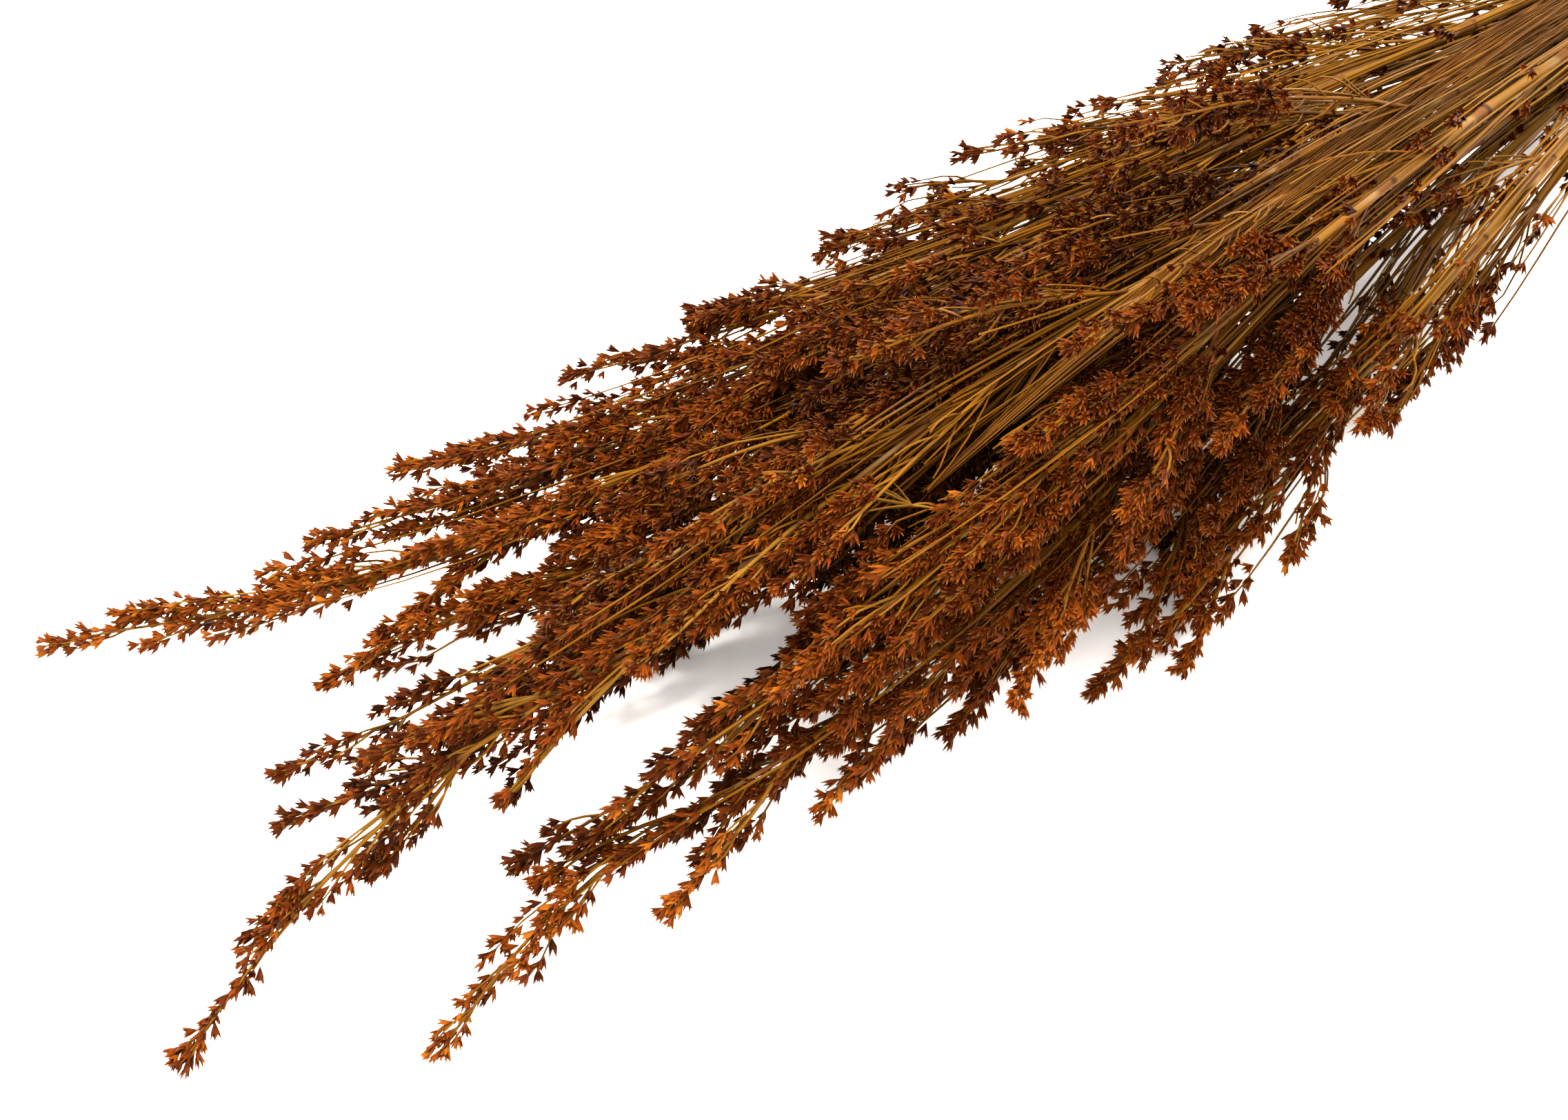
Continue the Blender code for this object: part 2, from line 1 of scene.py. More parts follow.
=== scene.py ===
"""A bunch of preserved reed grass that lies on a pale surface, bound with raffia near its cut ends.

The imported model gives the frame: one node for each stem and one for the tie. Every stem is dressed here with
a jointed golden culm, its fine twigs and the dense plumes of dyed brown spikelets that the twigs carry.
Lengths in this file are in millimetres, in the bunch's own frame: X runs from the tie to the tips, Y across
and Z up.
"""

import json
import logging
import math
import random
from dataclasses import dataclass, field
from enum import Enum
from itertools import product
from typing import Callable

import bpy
import numpy as np
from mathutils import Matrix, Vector

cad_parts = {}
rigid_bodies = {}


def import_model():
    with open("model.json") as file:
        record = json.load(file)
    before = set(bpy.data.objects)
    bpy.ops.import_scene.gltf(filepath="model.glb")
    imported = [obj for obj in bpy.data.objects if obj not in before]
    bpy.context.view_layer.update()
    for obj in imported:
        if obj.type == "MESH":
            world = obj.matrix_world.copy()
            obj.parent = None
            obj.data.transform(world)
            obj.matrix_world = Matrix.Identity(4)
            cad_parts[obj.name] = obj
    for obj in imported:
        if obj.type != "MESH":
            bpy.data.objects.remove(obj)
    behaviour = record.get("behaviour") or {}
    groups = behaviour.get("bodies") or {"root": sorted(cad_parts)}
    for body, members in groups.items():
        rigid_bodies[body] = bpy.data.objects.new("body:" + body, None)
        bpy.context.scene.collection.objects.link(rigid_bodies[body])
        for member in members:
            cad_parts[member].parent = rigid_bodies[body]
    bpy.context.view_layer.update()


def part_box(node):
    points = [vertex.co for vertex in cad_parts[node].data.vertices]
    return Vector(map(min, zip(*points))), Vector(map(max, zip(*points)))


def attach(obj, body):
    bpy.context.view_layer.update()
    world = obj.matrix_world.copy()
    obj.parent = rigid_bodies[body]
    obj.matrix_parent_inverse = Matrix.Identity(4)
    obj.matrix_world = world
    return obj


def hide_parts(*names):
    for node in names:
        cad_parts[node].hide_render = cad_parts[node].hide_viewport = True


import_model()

MM = 0.001
TAU = math.tau
LOG = logging.getLogger("reed_grass")

# Nearly all the values of a noise lie between these two.
NOISE_LOW = 0.3
NOISE_HIGH = 0.7

Colour = tuple[float, float, float]
Place = tuple[float, float, float]
Span = tuple[float, float]
Socket = bpy.types.NodeSocket
Item = bpy.types.Object


class Form(Enum):
    """How far a spikelet has opened: the radius of its mouth and of its notches, as shares of its length."""

    BUD = (0.26, 0.21)
    TULIP = (0.34, 0.23)
    TUFT = (0.42, 0.26)


class Graph:
    """A material's node tree, written a node at a time."""

    mixed_inputs = (6, 7)
    mixed_output = 2

    def __init__(self, name: str) -> None:
        """Starts a material that holds only its output and its surface shader.

        Args:
            name: The material's name.
        """
        self.material = bpy.data.materials.new(name)
        self.material.use_nodes = True
        self.tree = self.material.node_tree
        self.shader = self.tree.nodes["Principled BSDF"]

    def node(self, kind: str, inputs: dict | None = None, **settings: object) -> bpy.types.Node:
        """Adds a node.

        Args:
            kind: The node's type, without its ShaderNode prefix.
            inputs: Socket name or number to a value, or to the output that feeds it.
            **settings: The node's own settings.

        Returns:
            The new node.
        """
        made = self.tree.nodes.new("ShaderNode" + kind)
        for key, value in settings.items():
            setattr(made, key, value)
        for key, value in (inputs or {}).items():
            self.feed(made.inputs[key], value)
        return made

    def feed(self, socket: Socket, value: object) -> None:
        """Sets a socket to a value, or links the output that feeds it.

        Args:
            socket: The socket.
            value: A plain value or another node's output.
        """
        if isinstance(value, Socket):
            self.tree.links.new(value, socket)
        else:
            socket.default_value = value

    def attribute(self, name: str, output: str = "Fac") -> Socket:
        """The value that the mesh carries under a name."""
        return self.node("Attribute", attribute_name=name).outputs[output]

    def noise(self, scale: float, detail: float) -> Socket:
        """A noise value on object coordinates, from its cells to the metre and its octaves of detail."""
        place = self.node("TexCoord").outputs["Object"]
        return self.node("TexNoise", {"Vector": place, "Scale": scale, "Detail": detail}).outputs["Fac"]

    def fibres(self, across: float, along: float, detail: float) -> Socket:
        """A noise value that is stretched along the piece's own grain.

        Args:
            across: Noise cells across the grain.
            along: Noise cells along it.
            detail: Octaves of finer noise.

        Returns:
            The noise's value, from 0 to 1.
        """
        grain = self.node("UVMap", uv_map="grain").outputs[0]
        stretched = self.node("Mapping", {"Vector": grain, "Scale": (across, along, 1.0)}).outputs[0]
        return self.node("TexNoise", {"Vector": stretched, "Scale": 1.0, "Detail": detail}).outputs["Fac"]

    def ramp(self, value: Socket, stops: dict[float, Colour | float]) -> Socket:
        """Colours along a value.

        Args:
            value: The value that is looked up.
            stops: Place on the ramp to its colour or its grey level.

        Returns:
            The colour.
        """
        made = self.node("ValToRGB", {"Fac": value})
        elements = made.color_ramp.elements
        while len(elements) < len(stops):
            elements.new(0.5)
        for element, (place, colour) in zip(elements, sorted(stops.items())):
            element.position = place
            element.color = (*((colour,) * 3 if isinstance(colour, float) else colour), 1.0)
        return made.outputs["Color"]

    def mix(self, share: object, first: object, second: object, blend: str = "MIX") -> Socket:
        """Mixes two colours.

        Args:
            share: How much of the second, as a value or an output.
            first: The colour below.
            second: The colour above.
            blend: The way they are mixed.

        Returns:
            The mixed colour.
        """
        made = self.node("Mix", data_type="RGBA", blend_type=blend)
        self.feed(made.inputs[0], share)
        for number, colour in zip(self.mixed_inputs, (first, second)):
            self.feed(made.inputs[number], colour if isinstance(colour, Socket) else (*colour, 1.0))
        return made.outputs[self.mixed_output]

    def dim(self, colour: Colour | Socket, value: Socket, stops: dict[float, float]) -> Socket:
        """Darkens a colour along a value, by the share of the colour that is left at places on it."""
        return self.mix(1.0, colour, self.ramp(value, stops), "MULTIPLY")

    def paint(self, colour: Socket) -> None:
        """Gives the surface its colour."""
        self.feed(self.shader.inputs["Base Color"], colour)

    def gloss(self, roughness: object, specular: float, tint: Colour) -> None:
        """Sets how the surface shines.

        Args:
            roughness: A value or the output that feeds it.
            specular: The strength of the shine.
            tint: Its colour.
        """
        self.feed(self.shader.inputs["Roughness"], roughness)
        self.shader.inputs["Specular IOR Level"].default_value = specular
        self.shader.inputs["Specular Tint"].default_value = (*tint, 1.0)

    def bump(self, height: Socket, depth: float) -> None:
        """Raises the surface by a height value, with its depth in millimetres."""
        made = self.node("Bump", {"Height": height, "Distance": depth * MM, "Strength": 1.0})
        self.feed(self.shader.inputs["Normal"], made.outputs[0])


@dataclass(frozen=True)
class BractFinish:
    """Dry dyed bracts: darker at their foot, partly their own colour and partly painted shade in the cup,
    orange at their points, with a waxy gloss.
    """

    name: str = "dyed_bracts"
    # Colours along the tone, from dark to bright: the bracts' own dye, and also the painted shade and painted
    # light that the tone carries.
    shadow: Colour = (0.0083, 0.0013, 0.0003)
    brown: Colour = (0.0406, 0.0062, 0.0006)
    orange: Colour = (0.1146, 0.0224, 0.0017)
    gold: Colour = (0.2083, 0.0583, 0.0047)
    dye_and_shade_at: tuple[float, ...] = (0.0, 0.4, 0.8, 1.0)
    point: Colour = (0.2760, 0.1016, 0.0141)
    point_share: float = 0.34
    point_from: float = 0.72
    # Shares of colour kept at a spikelet's foot and middle: partly the bracts' own colour, partly painted
    # shade inside the cup.
    foot: float = 0.42
    middle: float = 0.78
    mottle_scale: float = 700.0
    mottle_dark: float = 0.68
    pore_scale: float = 2600.0
    pore_depth: float = 0.05
    sheen_scale: float = 420.0
    roughness: Span = (0.50, 0.72)
    specular: float = 0.045
    tint: Colour = (1.0, 0.58, 0.26)

    def make(self) -> bpy.types.Material:
        """Makes the material.

        Returns:
            The material.
        """
        graph = Graph(self.name)
        rise = graph.attribute("rise")
        # The tone ramp paints the dye and also the painted shade and light carried by the tone.
        stops = dict(zip(self.dye_and_shade_at, (self.shadow, self.brown, self.orange, self.gold)))
        dye_and_shade = graph.ramp(graph.attribute("tone"), stops)
        mottle = graph.noise(self.mottle_scale, 3.0)
        mottled = graph.dim(dye_and_shade, mottle, {NOISE_LOW: self.mottle_dark, NOISE_HIGH: 1.0})
        # Darker towards each spikelet's foot: partly own colour, partly painted shade inside the cup.
        shaded = graph.dim(mottled, rise, {0.0: self.foot, 0.5: self.middle, 1.0: 1.0})
        pale = graph.ramp(rise, {self.point_from: 0.0, 1.0: self.point_share})
        graph.paint(graph.mix(pale, shaded, self.point))
        low, high = self.roughness
        sheen = graph.ramp(graph.noise(self.sheen_scale, 2.0), {NOISE_LOW: low, NOISE_HIGH: high})
        graph.gloss(sheen, self.specular, self.tint)
        graph.bump(graph.noise(self.pore_scale, 2.0), self.pore_depth)
        return graph.material


@dataclass(frozen=True)
class StrawFinish:
    """Golden straw of the culms and twigs, with pink-brown bands, pale rings and fine lengthwise fibres."""

    name: str = "golden_straw"
    dull: Colour = (0.0208, 0.0063, 0.0007)
    golden: Colour = (0.1040, 0.0375, 0.0022)
    light: Colour = (0.1420, 0.0660, 0.0090)
    blush: Colour = (0.0625, 0.0208, 0.0072)
    cream: Colour = (0.1614, 0.1067, 0.0443)
    line: Colour = (0.0182, 0.0057, 0.0023)
    fibre_cells: Span = (34.0, 0.5)
    fibre_depth: float = 0.06
    streak_dark: float = 0.70
    patch_scale: float = 60.0
    patch_at: Span = (0.35, 0.65)
    patch_dark: float = 0.76
    roughness: Span = (0.36, 0.56)
    specular: float = 0.03
    tint: Colour = (1.0, 0.70, 0.36)

    def make(self) -> bpy.types.Material:
        """Makes the material.

        Returns:
            The material.
        """
        graph = Graph(self.name)
        # The tone ramp paints the straw's own colours and also the painted shade that the tone carries deep in
        # the bunch.
        straw = graph.ramp(graph.attribute("tone"), {0.0: self.dull, 0.5: self.golden, 1.0: self.light})
        fibres = graph.fibres(*self.fibre_cells, 3.0)
        streaked = graph.dim(straw, fibres, {NOISE_LOW: self.streak_dark, NOISE_HIGH: 1.0})
        patches = graph.noise(self.patch_scale, 3.0)
        shown = graph.dim(streaked, patches, dict(zip(self.patch_at, (self.patch_dark, 1.0))))
        marks = graph.node("SeparateColor", {0: graph.attribute("marks", "Color")})
        for output, colour in zip(marks.outputs, (self.blush, self.cream, self.line)):
            shown = graph.mix(output, shown, colour)
        graph.paint(shown)
        low, high = self.roughness
        sheen = graph.ramp(fibres, {NOISE_LOW: low, NOISE_HIGH: high})
        graph.gloss(sheen, self.specular, self.tint)
        graph.bump(fibres, self.fibre_depth)
        return graph.material


@dataclass(frozen=True)
class RaffiaFinish:
    """Flat dry raffia, pale and split along its fibres."""

    name: str = "raffia_fibre"
    dark: Colour = (0.0989, 0.0599, 0.0234)
    pale: Colour = (0.2239, 0.1614, 0.0808)
    pale_from: float = 0.62
    fibre_cells: Span = (26.0, 0.6)
    fibre_detail: float = 4.0
    fibre_depth: float = 0.14
    strand_dark: float = 0.72
    patch_scale: float = 120.0
    patch_dark: float = 0.75
    roughness: Span = (0.48, 0.7)
    specular: float = 0.4
    tint: Colour = (1.0, 0.95, 0.85)

    def make(self) -> bpy.types.Material:
        """Makes the material.

        Returns:
            The material.
        """
        graph = Graph(self.name)
        fibres = graph.fibres(*self.fibre_cells, self.fibre_detail)
        straw = graph.ramp(fibres, {NOISE_LOW: self.dark, self.pale_from: self.pale})
        strands = graph.dim(straw, graph.attribute("tone"), {0.0: self.strand_dark, 1.0: 1.0})
        patches = graph.noise(self.patch_scale, 3.0)
        graph.paint(graph.dim(strands, patches, {NOISE_LOW: self.patch_dark, NOISE_HIGH: 1.0}))
        low, high = self.roughness
        sheen = graph.ramp(fibres, {NOISE_LOW: low, NOISE_HIGH: high})
        graph.gloss(sheen, self.specular, self.tint)
        graph.bump(fibres, self.fibre_depth)
        return graph.material


@dataclass(frozen=True)
class SurfaceFinish:
    """The plain pale surface that the bunch lies on."""

    name: str = "pale_surface"
    colour: Colour = (0.97, 0.945, 0.945)
    patch_scale: float = 3.0
    patch_dark: float = 0.98
    roughness: float = 0.95
    specular: float = 0.1
    tint: Colour = (1.0, 1.0, 1.0)

    def make(self) -> bpy.types.Material:
        """Makes the material.

        Returns:
            The material.
        """
        graph = Graph(self.name)
        patches = graph.noise(self.patch_scale, 2.0)
        graph.paint(graph.dim(self.colour, patches, {NOISE_LOW: self.patch_dark, NOISE_HIGH: 1.0}))
        graph.gloss(self.roughness, self.specular, self.tint)
        return graph.material


@dataclass
class Pattern:
    """A small closed mesh of triangles that is copied many times."""

    points: np.ndarray
    triangles: np.ndarray

    @classmethod
    def taken_from(cls, item: Item) -> "Pattern":
        """Reads a modelled object as a pattern and removes the object.

        Args:
            item: The object, at the origin.

        Returns:
            Its points and triangles.
        """
        mesh = item.data
        points = np.zeros(len(mesh.vertices) * 3)
        mesh.vertices.foreach_get("co", points)
        mesh.calc_loop_triangles()
        triangles = np.zeros(len(mesh.loop_triangles) * 3, dtype=np.int32)
        mesh.loop_triangles.foreach_get("vertices", triangles)
        bpy.data.objects.remove(item)
        bpy.data.meshes.remove(mesh)
        return cls(points.reshape(-1, 3), triangles.reshape(-1, 3))


class Modeller:
    """Starts primitives and works on them in edit mode, as by hand."""

    section_radius = 0.25

    @staticmethod
    def start() -> None:
        """Deselects everything, so that an operator acts only on what comes next."""
        bpy.ops.object.select_all(action="DESELECT")

    @staticmethod
    def cup(points: int) -> Item:
        """A cone from its point at 0 to a wide mouth at 1 along Z, closed by a fan of faces.

        Args:
            points: How many points its mouth will have: it has a corner for each, and one between each two.

        Returns:
            The cone's object.
        """
        Modeller.start()
        bpy.ops.mesh.primitive_cone_add(
            vertices=2 * points,
            radius1=0.0,
            radius2=1.0,
            depth=1.0,
            end_fill_type="TRIFAN",
            location=(0.0, 0.0, 0.5),
        )
        bpy.ops.object.transform_apply(location=True, rotation=True, scale=True)
        return bpy.context.object

    @staticmethod
    def ring(around: int, across: int) -> Item:
        """A torus round Z with a radius of one and a small round section.

        Args:
            around: Segments round the ring.
            across: Segments round its section.

        Returns:
            The ring's object.
        """
        Modeller.start()
        bpy.ops.mesh.primitive_torus_add(
            major_segments=around,
            minor_segments=across,
            major_radius=1.0,
            minor_radius=Modeller.section_radius,
        )
        return bpy.context.object

    @staticmethod
    def tube(sides: int, rings: int) -> Item:
        """A closed tube round Z from 0 to 1 with even rings.

        Args:
            sides: Corners of its section.
            rings: Rings of corners, the two ends included.

        Returns:
            The tube's object.
        """
        Modeller.start()
        bpy.ops.mesh.primitive_cylinder_add(
            vertices=sides, radius=1.0, depth=1.0, end_fill_type="NGON", location=(0.0, 0.0, 0.5)
        )
        item = bpy.context.object
        bpy.ops.object.transform_apply(location=True, rotation=True, scale=True)
        bpy.ops.object.mode_set(mode="EDIT")
        bpy.ops.mesh.select_mode(type="EDGE")
        bpy.ops.mesh.select_all(action="DESELECT")
        bpy.ops.object.mode_set(mode="OBJECT")
        for edge in item.data.edges:
            first, second = (item.data.vertices[number].co.z for number in edge.vertices)
            edge.select = abs(first - second) > 0.5
        bpy.ops.object.mode_set(mode="EDIT")
        if rings > 2:
            bpy.ops.mesh.subdivide(number_cuts=rings - 2)
        bpy.ops.mesh.select_all(action="SELECT")
        bpy.ops.mesh.quads_convert_to_tris(quad_method="FIXED", ngon_method="BEAUTY")
        bpy.ops.object.mode_set(mode="OBJECT")
        return item

    @staticmethod
    def pick(item: Item, wanted: Callable[[Vector], bool]) -> None:
        """Selects the corners of an object in edit mode by their place.

        Args:
            item: The object.
            wanted: Says of a corner's place whether it is selected.
        """
        bpy.ops.mesh.select_mode(type="VERT")
        bpy.ops.mesh.select_all(action="DESELECT")
        bpy.ops.object.mode_set(mode="OBJECT")
        for corner in item.data.vertices:
            corner.select = bool(wanted(corner.co))
        bpy.ops.object.mode_set(mode="EDIT")


class TubePattern:
    """A tube that can be laid along any line."""

    kept: dict[tuple[int, int], "TubePattern"] = {}

    def __init__(self, sides: int, rings: int) -> None:
        """Models the tube once and notes the ring and the side of each corner.

        Args:
            sides: Corners of its section.
            rings: Its rings.
        """
        self.pattern = Pattern.taken_from(Modeller.tube(sides, rings))
        points = self.pattern.points
        self.ring = np.rint(points[:, 2] * (rings - 1)).astype(int)
        self.angle = np.arctan2(points[:, 1], points[:, 0]) % TAU
        self.around = unwrapped(self.angle / TAU, self.pattern.triangles)

    @classmethod
    def of(cls, sides: int, rings: int) -> "TubePattern":
        """The pattern of a size, modelled the first time it is asked for.

        Args:
            sides: Corners of its section.
            rings: Its rings.

        Returns:
            The pattern.
        """
        if (sides, rings) not in cls.kept:
            cls.kept[sides, rings] = cls(sides, rings)
        return cls.kept[sides, rings]


class RingPattern:
    """A closed ring that can be laid round any outline."""

    def __init__(self, around: int, across: int) -> None:
        """Models the ring once and notes where each corner lies round it and round its section.

        Args:
            around: Segments round the ring.
            across: Segments round its section.
        """
        self.pattern = Pattern.taken_from(Modeller.ring(around, across))
        x, y, z = self.pattern.points.T
        self.share = (np.arctan2(y, x) % TAU) / TAU
        self.section = np.arctan2(z, np.hypot(x, y) - 1.0) % TAU
        turns = (self.section / TAU, self.share)
        self.grain = np.stack([unwrapped(turn, self.pattern.triangles).ravel() for turn in turns], axis=1)


def unwrapped(shares: np.ndarray, triangles: np.ndarray) -> np.ndarray:
    """Shares of a turn at each triangle's corners, kept together where a triangle crosses the seam.

    Args:
        shares: A share of a turn for each corner of the mesh.
        triangles: Faces as rows of corner numbers.

    Returns:
        Three shares for each triangle.
    """
    found = shares[triangles]
    wraps = found.max(axis=1) - found.min(axis=1) > 0.5
    found[wraps] = np.where(found[wraps] < 0.5, found[wraps] + 1.0, found[wraps])
    return found


def unit(vectors: np.ndarray) -> np.ndarray:
    """Vectors at length one."""
    return vectors / np.maximum(np.linalg.norm(vectors, axis=-1, keepdims=True), 1e-9)


def side_axes(along: np.ndarray) -> tuple[np.ndarray, np.ndarray]:
    """Two directions square to each line direction and to each other, the first one level."""
    level = unit(np.cross(np.array((0.0, 0.0, 1.0)), along))
    return level, np.cross(along, level)


class Path:
    """A line with a place and a direction at every distance along it."""

    half_window = 2.0

    def __init__(self, points: np.ndarray) -> None:
        """Takes the line and measures it.

        Args:
            points: Its points, in order.
        """
        self.points = np.asarray(points, float)
        spans = np.linalg.norm(np.diff(self.points, axis=0), axis=1)
        self.marks = np.concatenate(([0.0], np.cumsum(spans)))
        self.length = float(self.marks[-1])

    def at(self, distance: np.ndarray | float) -> np.ndarray:
        """The places at distances from the start."""
        return np.stack([np.interp(distance, self.marks, column) for column in self.points.T], axis=-1)

    def heading(self, distance: np.ndarray | float) -> np.ndarray:
        """The directions at distances from the start.

        Args:
            distance: One distance or many.

        Returns:
            A direction for each, read over a short window round it.
        """
        half = self.half_window
        centre = np.clip(distance, half, max(self.length - half, half))
        return unit(self.at(centre + half) - self.at(centre - half))

    def beside(self, distance: np.ndarray | float, angle: np.ndarray | float) -> np.ndarray:
        """Directions square to the line.

        Args:
            distance: One distance along the line or many.
            angle: The angle round the line, one for all or one for each.

        Returns:
            A direction for each distance.
        """
        level, upward = side_axes(self.heading(distance))
        turn = np.asarray(angle)[..., None]
        return level * np.cos(turn) + upward * np.sin(turn)


class Gather:
    """Collects copies of patterns and makes them one mesh."""

    grain_scale = (0.5, 0.1)

    def __init__(self) -> None:
        """Starts empty."""
        self.points: list[np.ndarray] = []
        self.triangles: list[np.ndarray] = []
        self.tones: list[np.ndarray] = []
        self.rises: list[np.ndarray] = []
        self.marks: list[np.ndarray] = []
        self.grain: list[np.ndarray] = []
        self.count = 0

    def add(
        self,
        points: np.ndarray,
        triangles: np.ndarray,
        tone: np.ndarray,
        rise: np.ndarray,
        marks: np.ndarray | None = None,
        grain: np.ndarray | None = None,
    ) -> None:
        """Adds a mesh.

        Args:
            points: Its corners in millimetres.
            triangles: Its faces as rows of corner numbers.
            tone: A value of its colour for each corner.
            rise: How far up its form each corner lies, from 0 to 1.
            marks: Shares of blush, cream and dark line for each corner.
            grain: A place on the lengthwise grain for each corner of each face.
        """
        self.points.append(points)
        self.triangles.append(triangles + self.count)
        self.tones.append(tone)
        self.rises.append(rise)
        self.marks.append(np.zeros((len(points), 3)) if marks is None else marks)
        self.grain.append(np.zeros((triangles.size, 2)) if grain is None else grain)
        self.count += len(points)

    def sweep(
        self,
        line: np.ndarray,
        radii: np.ndarray,
        sides: int,
        tone: float | np.ndarray,
        marks: np.ndarray | None = None,
        turn: float = 0.0,
        flat: float = 1.0,
    ) -> None:
        """Adds a tube along a line.

        Args:
            line: The places of its rings.
            radii: The radius at each ring.
            sides: Corners of its section.
            tone: The value of its colour, one for all or one for each ring.
            marks: Shares of blush, cream and dark line at each ring.
            turn: How far its section is turned.
            flat: Its height as a share of its width.
        """
        tube = TubePattern.of(sides, len(line))
        level, upward = side_axes(unit(np.gradient(line, axis=0)))
        ring = tube.ring
        angle = (tube.angle + turn)[:, None]
        section = level[ring] * np.cos(angle) + upward[ring] * np.sin(angle) * flat
        points = line[ring] + radii[ring, None] * section
        triangles = tube.pattern.triangles
        lengths = Path(line).marks[ring][triangles].ravel()
        grain = np.stack((tube.around.ravel() * radii.max(), lengths), axis=1) * self.grain_scale
        shown = None if marks is None else marks[ring]
        tones = np.broadcast_to(tone, len(line))[ring]
        self.add(points, triangles, tones, ring / (len(line) - 1), shown, grain)

    def made(self, name: str, shift: np.ndarray, finish: bpy.types.Material, smooth: bool) -> Item:
        """Makes the collected mesh an object of its own.

        Args:
            name: The object's name.
            shift: Where the bunch's own frame lies in the row's frame, in millimetres.
            finish: Its material.
            smooth: Whether it is shaded smoothly.

        Returns:
            The object, at the origin with its place in its mesh.
        """
        points = (np.concatenate(self.points) + shift) * MM
        triangles = np.concatenate(self.triangles).astype(np.int32)
        mesh = bpy.data.meshes.new(name)
        mesh.vertices.add(len(points))
        mesh.vertices.foreach_set("co", points.ravel())
        mesh.loops.add(triangles.size)
        mesh.loops.foreach_set("vertex_index", triangles.ravel())
        mesh.polygons.add(len(triangles))
        mesh.polygons.foreach_set("loop_start", np.arange(0, triangles.size, 3, dtype=np.int32))
        mesh.polygons.foreach_set("use_smooth", np.full(len(triangles), smooth))
        for key, parts in (("tone", self.tones), ("rise", self.rises)):
            mesh.attributes.new(key, "FLOAT", "POINT").data.foreach_set("value", np.concatenate(parts))
        marks = np.concatenate(self.marks)
        colours = np.concatenate((marks, np.ones((len(marks), 1))), axis=1)
        mesh.attributes.new("marks", "FLOAT_COLOR", "POINT").data.foreach_set("color", colours.ravel())
        mesh.uv_layers.new(name="grain").uv.foreach_set("vector", np.concatenate(self.grain).ravel())
        mesh.update(calc_edges=True)
        mesh.validate()
        mesh.materials.append(finish)
        item = bpy.data.objects.new(name, mesh)
        bpy.context.scene.collection.objects.link(item)
        return item


@dataclass(frozen=True)
class StemPlan:
    """One stem: its slot in the bundle, its head, the tone of its bracts and the course of its culm.

    The head's length is measured back from the tip, which is the last place of the course. From full_from
    onwards, as an X, all its twigs bear spikelets.
    """

    node: str
    row: int
    place: int
    head: float
    branches: int
    tone: float
    full_from: float
    course: tuple[Place, ...]

    @property
    def tip(self) -> float:
        """How far along the bunch the stem reaches."""
        return self.course[-1][0]

    @property
    def neck(self) -> float:
        """Where along the bunch its head begins."""
        return self.tip - self.head


